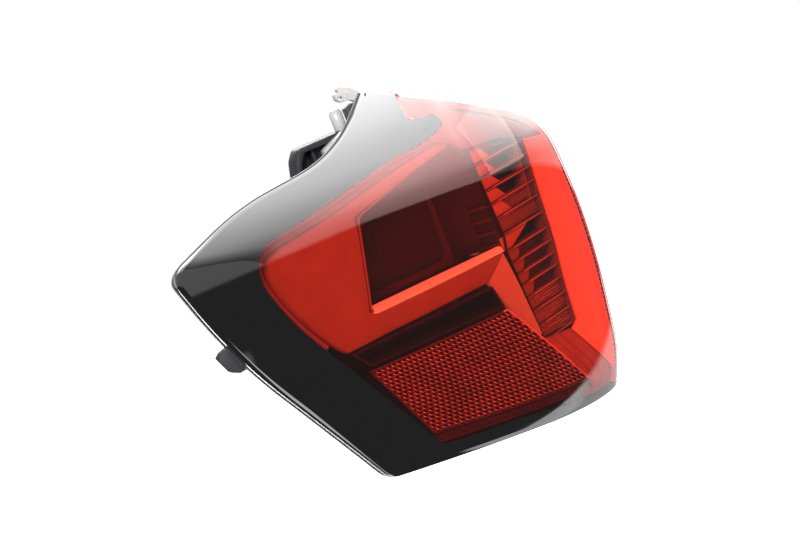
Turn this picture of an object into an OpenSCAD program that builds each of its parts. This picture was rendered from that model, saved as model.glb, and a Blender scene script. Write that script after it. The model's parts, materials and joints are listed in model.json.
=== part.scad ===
// Rear lamp cluster for the right rear corner of a car body: lens, inner optics, housing, bulbs and fixings.
// X runs to the car's outside, Y into the body and Z up. The lens looks along -Y.
// The origin is the centre of the main stud, where it leaves its mounting pad.

/* [Overall] */
// Depth from the foremost point of the lens to the mounting pads
lamp_depth = 112; // [106:1:122]
// Distance of the inboard tip from the main stud
tip_x = 134; // [128:1:140]
// Height of the inboard tip
tip_z = 51; // [48:1:54]
// Height of the upper peak of the outline
peak_z = 111; // [107:1:115]
// Sideways place of the upper peak
peak_x = 33; // [30:1:36]
// Distance of the outboard edge from the main stud
outer_x = 161; // [156:1:166]
// Depth of the lower edge below the main stud
bottom_z = 151; // [147:1:155]

/* [Lens] */
// Wall thickness of the lens
lens_t = 2.8; // [2.2:0.2:3.6]
// Crown radius of the lens across the car
crown_rx = 600; // [500:20:800]
// Crown radius of the lens up the car
crown_rz = 800; // [600:20:1000]
// Bend radius where the lens turns over at the top
top_bend_r = 135; // [125:5:150]
// Angle at which the top bend ends
top_bend_a = 48; // [44:1:52]
// Bend radius where the lens wraps round the corner of the car
side_bend_r = 150; // [140:5:170]
// Angle at which the bend round the car's corner ends
side_bend_a = 36; // [32:1:40]
// Bend radius at the lower outboard corner
corner_bend_r = 70; // [60:5:90]
// Angle at which the corner bend at the bottom ends
corner_bend_a = 30; // [26:1:34]
// Width of the dark lens foot seen from the front
foot_w = 3; // [2.4:0.2:4]
// Depth of the lens side wall
wall_h = 7.5; // [6:0.5:10]
// Step of the weld flange beyond the side wall
flange_step = 0.8; // [0.4:0.2:1.6]
// Thickness of the weld flange
flange_t = 3; // [2.4:0.2:4]

/* [Housing] */
// Wall thickness of the housing
housing_t = 2.6; // [2:0.2:3.4]
// Height of the mounting pads above the back wall
pad_h = 6; // [4:1:8]
// Size of the back wall as a share of the lens outline
back_share = 0.74; // [0.7:0.01:0.78]
// Outer radius of the moulded posts
post_r = 3.6; // [3:0.2:4.4]

/* [Inner optics] */
// Gap from the lens face to the bezel
bezel_gap = 12; // [10:1:14]
// Thickness of the bezel
bezel_t = 2.2; // [1.8:0.2:3]
// Depth of the tub behind the window as a share of the lamp's depth
tub_share = 0.55; // [0.5:0.01:0.6]
// Number of slats
slat_count = 14; // [12:1:15]
// Thickness of a slat
slat_t = 1.3; // [1:0.1:1.8]
// Depth of the slats
slat_d = 13; // [11:1:15]
// Gap from the lens face to the reflex reflector
reflex_gap = 5; // [4:0.5:7]
// Thickness of the reflex reflector
reflex_t = 3.4; // [2.6:0.2:4.4]

/* [Fixings] */
// Stud thread radius
stud_r = 3; // [2.5:0.5:4]
// Length of a stud beyond its pad
stud_l = 22; // [16:1:28]
// Radius of a mounting pad
pad_r = 10; // [8:1:12]
// Radius of the guide peg
peg_r = 4.3; // [3.9:0.1:4.7]

/* [Hidden] */
$fn = 48;

front_y = -lamp_depth;
back_y = -pad_h;
clear = 0.3;
hub = [30, -30];

// Outline of the lens seen from behind the car: [x, z, reach of the rounding along each side]
peak = [peak_x, peak_z - 1];
shoulder = [outer_x - 10, 44];
// Where the black border ends on the top edge
border_end = peak + (shoulder - peak) * 0.178;
outline_corners = [
    [outer_x, -32, 46],
    [shoulder[0], shoulder[1], 25],
    border_end + [0.1, -0.056],
    border_end - [0.1, -0.056],
    [peak[0], peak[1], 7],
    [-11, 79, 26],
    [-80, 73, 24],
    [-tip_x, tip_z, 12],
    [-116, -12, 40],
    [-53, 28 - bottom_z, 7],
    [outer_x - 18, -bottom_z, 13]
];
// Inner line of the black border, left open on the outboard side
border_dir = (border_end - hub) / norm(border_end - hub);
border_corners = [
    [outer_x + 60, -145],
    [outer_x + 60, 140],
    hub + border_dir * 190,
    [each (hub + border_dir * 96), 6],
    [-24, 55, 20],
    [-78, 45, 9],
    [-86, 28, 12],
    [-76, -6, 22],
    [-13, -118, 3],
    [62, -129, 30]
];

function unit(v) = v / norm(v);
// Curve from a to c that rounds the corner b, starting the given reach before it
function bend(a, b, c, reach, steps) =
    let (p = b + unit(a - b) * reach, q = b + unit(c - b) * reach)
    [for (i = [0:steps]) let (s = i / steps) (1 - s) * (1 - s) * p + 2 * s * (1 - s) * b + s * s * q];
function plan(p) = [p[0], p[1]];
// Closed outline through rounded corners; a corner with no reach stays sharp
function rounded(corners, steps = 6) =
    let (n = len(corners))
    [for (i = [0:n - 1])
        let (a = plan(corners[(i + n - 1) % n]), b = plan(corners[i]), c = plan(corners[(i + 1) % n]))
        each (is_undef(corners[i][2]) ? [b] : bend(a, b, c, corners[i][2], steps))];
// Closed outline with no stretch longer than the given step
function refined(pts, step) =
    [for (i = [0:len(pts) - 1])
        let (a = pts[i], b = pts[(i + 1) % len(pts)], n = max(1, ceil(norm(b - a) / step)))
        each [for (k = [0:n - 1]) a + (b - a) * k / n]];
// Outward normal of a closed outline at point i; the outlines run anticlockwise
function outward(pts, i) =
    let (n = len(pts), d = pts[(i + 1) % n] - pts[(i + n - 1) % n]) unit([d[1], -d[0]]);
// Closed outline moved outwards by d, with its corners kept sharp
function grown(pts, d) =
    let (n = len(pts))
    [for (i = [0:n - 1])
        let (e = unit(pts[i] - pts[(i + n - 1) % n]), f = unit(pts[(i + 1) % n] - pts[i]),
             a = [e[1], -e[0]], b = [f[1], -f[0]])
        pts[i] + (a + b) * d / (1 + a * b)];
// Distance from the hub to a closed outline along a direction
function reach_to(pts, dir) =
    min([for (i = [0:len(pts) - 1])
        let (a = pts[i] - hub, e = pts[(i + 1) % len(pts)] - pts[i],
             den = dir[0] * e[1] - dir[1] * e[0])
        if (abs(den) > 1e-9)
            let (t = (a[0] * e[1] - a[1] * e[0]) / den, s = (a[0] * dir[1] - a[1] * dir[0]) / den)
            if (t > 0 && s >= -1e-6 && s <= 1 + 1e-6) t]);

// How far a bend of radius r has fallen back at distance d, running straight on past the end angle
function fall(d, r, a) =
    let (m = r * sin(a), c = min(max(d, 0), m)) r - sqrt(r * r - c * c) + max(d - m, 0) * tan(a);
// How far a point lies beyond the curved line where the lower outboard corner starts to bend
function corner_reach(x, z) =
    let (u = outer_x + 2 - x, v = z + bottom_z - 12) (590 - u * v) / norm([u, v]);
// Front surface of the lens
function face(x, z) =
    front_y + x * x / (2 * crown_rx) + z * z / (2 * crown_rz)
    + fall(z - 34 + 0.1 * x, top_bend_r, top_bend_a) + fall(x - 62, side_bend_r, side_bend_a)
    + fall(corner_reach(x, z), corner_bend_r, corner_bend_a);
function slope(x, z) = norm([face(x + 1, z) - face(x, z), 1, face(x, z + 1) - face(x, z)]);
// Point behind the lens face by a distance measured square to it
function behind(p, d) = [p[0], face(p[0], p[1]) + d * slope(p[0], p[1]), p[1]];

lens_outline = refined(rounded(outline_corners, 4), 14);
face_outline = grown(lens_outline, -foot_w);
border_line = rounded(border_corners);
// Red window: the border line where there is a border, otherwise the edge of the face
function window_share(p) =
    let (d = p - hub) min(1, reach_to(border_line, unit(d)) / norm(d));
shares = [for (p = face_outline) window_share(p)];
window_outline = [for (i = [0:len(shares) - 1]) hub + (face_outline[i] - hub) * shares[i]];

// Triangles of a closed tube of n sections with k points each
function tube_faces(n, k) =
    [for (i = [0:n - 1]) for (j = [0:k - 1])
        let (a = i * k + j, b = i * k + (j + 1) % k, c = ((i + 1) % n) * k + (j + 1) % k, d = ((i + 1) % n) * k + j)
        each [[a, c, b], [a, d, c]]];
module tube(sections) {
    polyhedron([for (s = sections) each s], tube_faces(len(sections), len(sections[0])), convexity = 10);
}
// Sheet behind the lens between two lines of plan points, from depth near to depth far behind the face;
// rise is how much closer to the lens it comes on the second line
function strip_section(a, b, cuts, near, far, rise = 0) =
    [each [for (j = [0:cuts]) behind(a + (b - a) * j / cuts, near - rise * pow(j / cuts, 1.5))],
     each [for (j = [cuts:-1:0]) behind(a + (b - a) * j / cuts, far - rise * pow(j / cuts, 1.5))]];
function strip_faces(n, cuts) =
    let (k = 2 * cuts + 2)
    [each [for (i = [0:n - 2]) for (j = [0:k - 1])
        let (a = i * k + j, b = i * k + (j + 1) % k, c = (i + 1) * k + (j + 1) % k, d = (i + 1) * k + j)
        each [[a, b, c], [a, c, d]]],
     each [for (j = [0:cuts - 1]) each [[k - 1 - j, k - 2 - j, j + 1], [k - 1 - j, j + 1, j]]],
     each [for (j = [0:cuts - 1]) let (o = (n - 1) * k)
        each [[o + j, o + j + 1, o + k - 2 - j], [o + j, o + k - 2 - j, o + k - 1 - j]]]];
module strip(a, b, cuts, near, far, rise = 0) {
    polyhedron([for (i = [0:len(a) - 1]) each strip_section(a[i], b[i], cuts, near, far, rise)],
        strip_faces(len(a), cuts), convexity = 10);
}
// Sheet that follows the lens over the whole inside of a closed outline
module dish(pts, cuts, near, far) {
    n = len(pts);
    m = cuts * n;
    points = [each [for (j = [1:cuts]) for (p = pts) behind(hub + (p - hub) * j / cuts, near)],
              each [for (j = [1:cuts]) for (p = pts) behind(hub + (p - hub) * j / cuts, far)],
              behind(hub, near), behind(hub, far)];
    faces = [for (j = [0:cuts - 2]) for (i = [0:n - 1])
                let (a = j * n + i, b = j * n + (i + 1) % n, c = b + n, d = a + n)
                each [[a, c, d], [a, b, c], [m + a, m + d, m + c], [m + a, m + c, m + b]],
             for (i = [0:n - 1]) let (k = (i + 1) % n, o = (cuts - 1) * n)
                each [[2 * m, k, i], [2 * m + 1, m + i, m + k],
                      [o + i, m + o + k, m + o + i], [o + i, o + k, m + o + k]]];
    polyhedron(points, faces, convexity = 10);
}

module outer_lens() {
    color([0.8, 0.05, 0.05]) dish(window_outline, 6, 0, lens_t);
}
module lens_border() {
    n = len(shares);
    // Stations of the border, in order round the outline
    first = [for (i = [0:n - 1]) if (shares[i] < 1 && shares[(i + n - 1) % n] >= 1) i][0];
    count = len([for (s = shares) if (s < 1) s]);
    run = [for (i = [0:count - 1]) (first + i) % n];
    color([0.06, 0.06, 0.07])
        strip([for (i = run) face_outline[i]], [for (i = run) window_outline[i]], 4, 0, lens_t);
}
// Lean of the side wall at a station, so that the upper edge draws from its mould
function lean(i) = 0.45 * max(0, outward(lens_outline, i)[1]);
// Point of the side wall: offset from the outline, and depth behind the edge of the face
function wall_point(i, off, depth) =
    let (e = face_outline[i], o = outward(lens_outline, i), d = off - lean(i) * max(0, depth - 2))
    [lens_outline[i][0] + o[0] * d, face(e[0], e[1]) + depth, lens_outline[i][1] + o[1] * d];
stations = [0:len(lens_outline) - 1];
foot_h = wall_h + flange_t;
bead_t = 1;
seam = 0.4;
skirt_top = foot_h + bead_t + seam;

module lens_foot() {
    color([0.15, 0.15, 0.16]) tube([for (i = stations)
        let (e = face_outline[i], s = lens_t * slope(e[0], e[1]))
        [for (c = [[-foot_w, 0], [-1.2, 0.7], [-0.3, 2], [0, 4], [0, wall_h - 0.6], [flange_step, wall_h],
                   [flange_step, foot_h], [-lens_t, foot_h], [-lens_t, s + 1.6]])
            wall_point(i, c[0], c[1]), [e[0], face(e[0], e[1]) + s, e[1]]]]);
}
// Bead of sealant between the lens foot and the housing
module lens_bead() {
    color([0.3, 0.3, 0.32]) tube([for (i = stations)
        [for (c = [[-0.4, foot_h + seam], [-0.4, foot_h + bead_t], [-lens_t, foot_h + bead_t], [-lens_t, foot_h + seam]])
            wall_point(i, c[0], c[1])]]);
}

// Plan shape carried along Y, from y0 to y1
module slab(y0, y1) {
    translate([0, y1, 0]) rotate([90, 0, 0]) linear_extrude(y1 - y0) children();
}
// Round bar along Y at plan point p, from y0 to y1
module rod(p, r, y0, y1) {
    translate([p[0], y0, p[1]]) rotate([-90, 0, 0]) cylinder(h = y1 - y0, r = r);
}
function towards_hub(pts, share) = [for (p = pts) hub + (p - hub) * share];

// Places on the back wall
carrier_box = [[18, -46], [103, 12]];
stud_at = [[0, 0], [22, -88], [54, 31]];
tail_at = [33, -1];
stop_at = [91, -26];
socket_at = [62, -36];
vent_at = [14, 36];
carrier_t = 3;
socket_front = back_y - 8;
seal_t = 1;
carrier_lip = 6;
screw_r = 1.5;
screw_l = 18;
stud_root = back_y - housing_t - 2;
stud_root_r = stud_r + 1;

// Posts that carry the inner optics: plan point, and the distance of the post's top behind the lens face
bezel_back = bezel_gap + bezel_t;
reflex_back = reflex_gap + reflex_t;
post_list = [
    [[-62, 4], bezel_back], [[-34, 34], bezel_back], [[73, -56], bezel_back],
    [[-16, -72], reflex_back], [[62, -96], reflex_back]
];
function post_top(p, d) = max([for (a = [0:45:315]) behind(p + post_r * [cos(a), sin(a)], d)[1]]) + 0.25;

module housing_skirt() {
    tube([for (i = stations)
        let (q = wall_point(i, -0.2, skirt_top), w = wall_point(i, -4.5, skirt_top + 9),
             e = lens_outline[i], dir = unit(e - hub), b = hub + (e - hub) * back_share,
             in = dir * housing_t)
        [q, w, [b[0], back_y - housing_t, b[1]], [b[0] - in[0], back_y - housing_t, b[1] - in[1]],
         [w[0] - in[0], w[1], w[2] - in[1]], [q[0] - in[0], q[1], q[2] - in[1]]]]);
}
// Lug on the lower inboard side, which hooks behind the body panel
module lower_clip() {
    slab(front_y + 26, front_y + 34)
        polygon([[-108, -4], [-119.5, -7], [-122.5, -9.5], [-119.5, -17], [-118, -20.5], [-113, -23], [-104, -22]]);
}
fin_corners = [[25, 85.5, 3], [-12, 85.5, 2], [-17, 79, 2], [-20, 68, 2], [-20, 52], [25, 60]];
module fin_bracket() {
    difference() {
        slab(fin_front, fin_front + 16) polygon(rounded(fin_corners, 3));
        slab(fin_front - 1, fin_front + 13) polygon([[26, 82], [-10, 82], [-14, 76], [-16.5, 68], [-16.5, 50], [26, 50]]);
    }
    for (x = [-4, 8]) slab(fin_front + 4, fin_front + 14) translate([x, 60]) square([2, 23]);
}
// Dark block beside the guide peg, behind the upper peak
module peak_block() {
    slab(fin_front - 6.5, guide_y - 2.4)
        polygon([[25.6, 84.6], [25.4, 98], [31, 99.6], [36.4, 98.6], [37.2, 94], [31.2, 86]]);
}
module housing() {
    color([0.09, 0.09, 0.1]) union() {
        housing_skirt();
        fin_bracket();
        peak_block();
        lower_clip();
    }
}
module housing_back() {
    color([0.1, 0.1, 0.11]) difference() {
        union() {
            difference() {
                slab(back_y - housing_t, back_y) polygon(grown(towards_hub(lens_outline, back_share), 0.6));
                slab(back_y - 5, back_y + 1) translate(carrier_box[0]) square(carrier_box[1] - carrier_box[0]);
                rod(vent_at, 4, back_y - 5, back_y + 1);
            }
            for (p = stud_at) rod(p, pad_r, back_y - housing_t - 3, 0);
            for (p = post_list) rod(p[0], post_r, post_top(p[0], p[1]), back_y - 0.5);
        }
        for (p = stud_at) rod(p, stud_root_r + 0.05, stud_root - 0.1, 1);
        for (p = post_list) rod(p[0], screw_r + 0.1, back_y - screw_l - 1, 1);
        for (p = screw_at) rod(p, screw_r + 0.1, back_y - 6, 1);
    }
}

// Hand-chosen pairs along the bezel: a point of its outer line and a point of the window's edge
bezel_pairs = [
    [[66, 58], [69, 55.8]], [[40, 55.5], [42, 50.1]], [[14, 52], [20, 45.1]], [[-19, 45.5], [-4, 39.7]],
    [[-46, 41.5], [-11.3, 36.6]], [[-70, 37.5], [-13.3, 26]], [[-77.5, 28], [-15.6, 17]], [[-74, 8], [-19.3, 2]],
    [[-66, -12], [-23.4, -15]], [[-56, -30], [-24.8, -21]], [[-48, -39.5], [-20, -24.2]], [[-8, -39], [0, -24.2]],
    [[28, -38.6], [40, -24.2]], [[59, -38.4], [76, -24.2]], [[64, -53], [79.5, -46]], [[70, -68], [82, -68]],
    [[76, -83], [84.5, -86]]
];
// Edge of the window, from its upper right corner round to the lower right one; the right side is open
window_line = [[68, 54.5], each bend([68, 54.5], [-9, 37], [-24, -23], 4, 4),
    each bend([-9, 37], [-24, -23], [77, -23], 5, 4), [27, -23], [77, -23]];
tub_front = front_y + 24;
tub_back = front_y * (1 - tub_share);
tub_wall = 2;
lip_w = 3;

module inner_bezel() {
    color([0.75, 0.3, 0.22])
        strip([for (p = bezel_pairs) p[0]], [for (p = bezel_pairs) p[1]], 4, bezel_gap, bezel_back);
}
// Outer side of an open line at point i
function away(pts, i) =
    let (d = pts[min(i + 1, len(pts) - 1)] - pts[max(i - 1, 0)]) unit([d[1], -d[0]]);
// Stepped liner that follows the bezel's outer edge under the black border
module bezel_liner() {
    a = [for (i = [0:9]) bezel_pairs[i][0]];
    color([0.45, 0.2, 0.18])
        strip([for (i = [0:9]) a[i] + 8.5 * away(a, i)], [for (i = [0:9]) a[i] + 0.4 * away(a, i)], 3,
            bezel_back + 3.5, bezel_back + 5.5, 3);
}
// Frame of the window, with the broad lit lip along its lower side
module window_frame() {
    lip = [for (i = [0:len(window_line) - 1])
        let (o = away(window_line, i), p = window_line[i], w = 0.8 + (lip_w - 0.8) * max(0, -o[1]),
             y = behind(p, bezel_gap)[1])
        each [for (c = [[0.6, 0.5], [-w, w], [-w, tub_front + 2 - y], [0.6, tub_front + 2 - y]])
            [p[0] + o[0] * c[0], y + c[1], p[1] + o[1] * c[0]]]];
    color([0.8, 0.33, 0.25]) polyhedron(lip, strip_faces(len(window_line), 1), convexity = 10);
}
// The tub ends short of the window on its right, where the slotted screen leads out to the slats
tub_corners = [[-24, -23], [56, -23], [56, 51.8], [-9, 37]];
floor_y = tub_back - tub_wall;
screen_a = [57.6, floor_y - 8];
screen_b = [75.4, tub_front + 2.4];
bowl_r = 24;
function tub_line(d, r) = rounded([for (p = grown(tub_corners, d)) [p[0], p[1], r]], 4);
module bulb_chamber() {
    color([0.12, 0.06, 0.06]) difference() {
        slab(tub_front, tub_back) polygon(tub_line(0.6 + clear + tub_wall, 5));
        slab(tub_front - 1, floor_y) polygon(tub_line(0.6 + clear, 3));
        rod(tail_at, bowl_r - 2.4, floor_y - 1, tub_back + 1);
        slab(tub_front - 1, screen_a[1] + 1.2) translate([tub_corners[1][0] - 2, -40]) square([20, 120]);
    }
}
module smoked_cover() {
    color([0.2, 0.08, 0.08]) difference() {
        slab(floor_y - 7, floor_y) polygon(tub_line(0.6, 3));
        slab(floor_y - 8, floor_y - 2) translate([-30, -16]) square([78, 90]);
    }
}
module slotted_screen() {
    d = screen_b - screen_a;
    color([0.16, 0.07, 0.07]) translate([screen_a[0], screen_a[1], 0]) rotate([0, 0, atan2(d[1], d[0])])
        difference() {
            translate([0, 0, -21]) cube([norm(d), 1.6, 66]);
            for (k = [0:5]) translate([5, -1, -18 + 10.5 * k]) cube([norm(d) - 8, 4, 7]);
        }
}

// The slat panel stands in its own turned frame: U along the panel, W into the lamp, Z up
panel_at = [79.6, -23];
panel_turn = 24;
panel_line = [[0.6, 45], [8.6, -87], [40, -90.9], [55.6, 35.5]];
slat_pitch = 131 / slat_count;
module in_panel() {
    translate([panel_at[0], face(panel_at[0], panel_at[1]) + bezel_back + 1.6, 0])
        rotate([0, 0, panel_turn]) children();
}
module slat_reflector() {
    color([0.6, 0.15, 0.12]) in_panel() {
        difference() {
            slab(0, slat_d) polygon(panel_line);
            slab(-1, slat_d + 1) polygon(grown(panel_line, -1.4));
        }
        intersection() {
            slab(0, slat_d) polygon(grown(panel_line, -0.4));
            for (k = [0:slat_count - 1]) translate([0, 0, -91 + slat_pitch * k]) {
                translate([0, 0, slat_pitch - slat_t]) cube([70, slat_d, slat_t]);
                // Cut step at the inboard end of each cell
                slab(3, slat_d) polygon([[0, -1], [21, -1], [16.5, slat_pitch / 2], [21, slat_pitch], [0, slat_pitch]]);
            }
        }
        intersection() {
            slab(2, slat_d) polygon(grown(panel_line, -0.4));
            translate([46.5, 0, 0]) rotate([0, -5, 0]) translate([0, 0, -100]) cube([1.2, slat_d, 160]);
        }
    }
}
module turn_chamber() {
    color([0.3, 0.08, 0.08]) difference() {
        in_panel() difference() {
            slab(slat_d, slat_d + 17) intersection() {
                polygon(panel_line);
                translate([12, -100]) square([60, 160]);
            }
            slab(slat_d - 1, slat_d + 15.4) intersection() {
                polygon(grown(panel_line, -1.4));
                translate([13.4, -100]) square([60, 160]);
            }
        }
        rod(stop_at, 14, front_y, 0);
    }
}

// Point just inside the side wall: on the line from the hub towards aim, a distance m inside the outline
function inside_wall(aim, m) = let (d = unit(aim - hub)) hub + d * (reach_to(lens_outline, d) - m);
wall_gap = 4.4;
guide_gap = 7.2;
guide_t = 2.4;
guide_rise = 3.2;
// Inner edge of the light strip, and the height at which each station's outer end is aimed
strip_pairs = [
    [[128.8, 34.8], 30], [[126, 16], 10], [[123.2, -10], -16], [[121, -36], -42], [[117.4, -62], -68],
    [[116.2, -90], -97], [[107, -94], -136]
];
strip_inner = [for (p = strip_pairs) p[0]];
strip_outer = [for (p = strip_pairs) inside_wall([outer_x - 14, p[1]], wall_gap)];
module light_strip() {
    color([1, 0.15, 0.12]) strip(strip_inner, strip_outer, 5, guide_gap, guide_gap + guide_t, guide_rise);
}
// Shield between the lens's upper edge and the window, the slats and the light strip
shield_pairs = [
    [[36, 63], 0.1], [[52, 60.5], 0.28], [[66, 56.5], 0.44], [[77, 48], 0.6], [[98, 45.6], 0.78], [[114, 41.4], 0.93]
];
module upper_shield() {
    color([0.7, 0.25, 0.2])
        strip([each [for (p = shield_pairs) p[0]], [123, 38.8], [129.4, 36.2]],
            [each [for (p = shield_pairs) inside_wall(peak + (shoulder - peak) * p[1], 9)],
             inside_wall([150, 42], 7), inside_wall([outer_x - 14, 31.6], wall_gap)], 5,
            guide_gap, guide_gap + guide_t, guide_rise - 0.6);
}
board_at = [137, -30];
board_gap = 12.2;
module led_board() {
    color([0.1, 0.35, 0.2]) translate([board_at[0], behind(board_at, board_gap)[1], board_at[1]]) rotate([0, 0, 40]) {
        translate([-7, 0, -46]) cube([14, 1.6, 92]);
        for (k = [0:6]) translate([-1.7, -1.2, -41 + 13 * k]) cube([3.4, 1.3, 3.4]);
    }
}

reflex_top = [[-41, -54], [62, -57]];
reflex_bottom = [[-14.6, -109.6], [109, -129.6]];
function along(a, b, n) = [for (i = [0:n]) a + (b - a) * i / n];
module reflex_reflector() {
    color([0.55, 0.08, 0.07])
        strip(along(reflex_bottom[0], reflex_bottom[1], 8), along(reflex_top[0], reflex_top[1], 8), 5,
            reflex_gap, reflex_back);
}
module recess_tray() {
    tray = [[-46.5, -40], [-37, -52.6], [61.5, -55.4], [58.4, -40]];
    color([0.07, 0.05, 0.05]) difference() {
        slab(front_y + 12.8, front_y + 42) polygon(tray);
        slab(front_y + 12, front_y + 40) polygon(grown(tray, -1.4));
    }
}
module lower_optic() {
    top = [for (p = along(reflex_bottom[0], reflex_bottom[1], 6)) p - [0, 0.5]];
    color([0.4, 0.06, 0.06])
        strip([for (i = [0:6]) top[i] + [1.8 - 0.3 * i, -6.8 + 0.3 * i]], top, 2, reflex_gap + 0.6, reflex_back);
}
module corner_shield() {
    near_line = [[93, -95.5], [99, -104], [105.5, -113], [111, -121.5], [112.2, -129], [112.2, -136]];
    far_line = [each [for (p = along(strip_inner[6], strip_outer[6], 4)) p - [0.5, 0.5]],
        inside_wall([143, -145], 5.5)];
    color([0.7, 0.1, 0.08]) strip(near_line, far_line, 5, 9, 11.4, guide_rise);
}

// Bowl behind the smoked cover, turned about the tail bulb: shares of its radius and depth
bowl_t = 1.4;
bowl_d = socket_front - 4 - tub_back;
bowl_line = [[1, 0], [0.95, 0.3], [0.86, 0.6], [0.74, 0.82], [0.6, 0.96], [0.6, 1]];
module tail_reflector() {
    color([0.8, 0.8, 0.82]) translate([tail_at[0], 0, tail_at[1]]) rotate([-90, 0, 0])
        translate([0, 0, tub_back]) rotate_extrude() polygon([
            for (c = bowl_line) [c[0] * bowl_r - bowl_t, c[1] * bowl_d],
            for (i = [len(bowl_line) - 1:-1:0]) [bowl_line[i][0] * bowl_r, bowl_line[i][1] * bowl_d]
        ]);
}
bulb_l = -10 - tub_back;
module bulb(p) {
    translate([p[0], back_y + seal_t, p[1]]) rotate([90, 0, 0]) rotate_extrude()
        polygon([[0, -6], [4, -6], [4, -3], [7.4, -3], [7.4, 14], [6, 16], [7, 18],
            for (a = [-50:20:90]) [12 * cos(a), bulb_l - 12 + 12 * sin(a)]]);
}
module tail_bulb() { color([0.9, 0.88, 0.8]) bulb(tail_at); }
module stop_bulb() { color([0.9, 0.88, 0.8]) bulb(stop_at); }

carrier_outer = [carrier_box[0] - [carrier_lip, carrier_lip], carrier_box[1] + [carrier_lip, carrier_lip]];
function box_corners(b, r) =
    [[b[0][0], b[0][1], r], [b[1][0], b[0][1], r], [b[1][0], b[1][1], r], [b[0][0], b[1][1], r]];
screw_at = [for (x = [carrier_outer[0][0] + 3.6, carrier_outer[1][0] - 3.6])
    for (z = [carrier_outer[0][1] + 3.6, carrier_outer[1][1] - 3.6]) [x, z]];
module bulb_carrier() {
    color([0.85, 0.85, 0.83]) difference() {
        union() {
            slab(back_y + seal_t, back_y + seal_t + carrier_t) polygon(rounded(box_corners(carrier_outer, 4), 3));
            for (p = [tail_at, stop_at]) rod(p, 11, socket_front, back_y + seal_t + 1);
        }
        for (p = [tail_at, stop_at]) rod(p, 7.4 + clear, back_y - 20, back_y + 10);
        for (p = screw_at) rod(p, 1.9, back_y - 5, back_y + 10);
        slab(back_y, back_y + 10) translate(socket_at - [9, 5]) square([18, 10]);
    }
}
module carrier_seal() {
    color([0.12, 0.12, 0.12]) slab(back_y, back_y + seal_t) difference() {
        polygon(rounded(box_corners([carrier_outer[0] + [0.6, 0.6], carrier_outer[1] - [0.6, 0.6]], 4), 3));
        polygon(rounded(box_corners([carrier_box[0] - [1, 1], carrier_box[1] + [1, 1]], 1), 2));
        for (p = screw_at) translate(p) circle(r = 2.2);
    }
}
carrier_back = back_y + seal_t + carrier_t;
module carrier_screws() {
    color([0.7, 0.7, 0.72]) for (p = screw_at) union() {
        rod(p, screw_r, back_y - housing_t - 1, carrier_back + 0.5);
        rod(p, 3.2, carrier_back, carrier_back + 2.2);
    }
}
module contact_strips() {
    color([0.78, 0.7, 0.45]) slab(carrier_back, carrier_back + 0.6) {
        difference() {
            union() {
                translate([tail_at[0], tail_at[1] + 10]) square([stop_at[0] - tail_at[0], 4]);
                translate([tail_at[0] - 3, tail_at[1] + 5]) square([6, 9]);
                translate([stop_at[0] - 3, stop_at[1] + 5]) square([6, tail_at[1] - stop_at[1] + 9]);
                translate([socket_at[0] - 2, socket_at[1] + 8]) square([4, tail_at[1] - socket_at[1] + 4]);
            }
            for (p = [tail_at, stop_at]) translate(p) circle(r = 7.4 + clear);
        }
    }
}
shroud_l = 15;
module connector_shroud() {
    color([0.1, 0.1, 0.1]) difference() {
        union() {
            slab(back_y + 1.5, carrier_back + shroud_l) translate(socket_at - [8.7, 4.7]) square([17.4, 9.4]);
            slab(carrier_back, carrier_back + shroud_l) translate(socket_at - [11, 7]) square([22, 14]);
            slab(carrier_back + 4, carrier_back + 9) translate(socket_at + [-3, 7]) square([6, 1.6]);
        }
        slab(carrier_back + 2, carrier_back + shroud_l + 1) translate(socket_at - [9.4, 5.4]) square([18.8, 10.8]);
        for (x = [-6:4:6]) slab(back_y, carrier_back + 5) translate(socket_at + [x - 0.5, -0.5]) square(1);
    }
}
module connector_pins() {
    color([0.8, 0.72, 0.4]) for (x = [-6:4:6])
        slab(back_y + 1.6, carrier_back + 8.5) translate(socket_at + [x - 0.4, -0.4]) square(0.8);
}
module body_seal() {
    color([0.1, 0.1, 0.1]) slab(back_y, 0) difference() {
        polygon(towards_hub(lens_outline, back_share - 0.01));
        polygon(towards_hub(lens_outline, back_share - 0.058));
    }
}
module stud(p) {
    color([0.75, 0.75, 0.77]) union() {
        rod(p, stud_root_r, stud_root, 0);
        rod(p, stud_r, -1, stud_l);
    }
}
module main_stud() { stud(stud_at[0]); }
module lower_stud() { stud(stud_at[1]); }
module upper_stud() { stud(stud_at[2]); }
module vent_cap() {
    color([0.14, 0.14, 0.15]) union() {
        rod(vent_at, 3.8, back_y - housing_t, back_y + 1);
        rod(vent_at, 7, back_y, back_y + 3);
        for (a = [0:45:315]) translate([vent_at[0] + 6.4 * cos(a), back_y, vent_at[1] + 6.4 * sin(a)])
            rotate([-90, 0, 0]) cylinder(h = 3.6, r = 1);
    }
}

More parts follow.
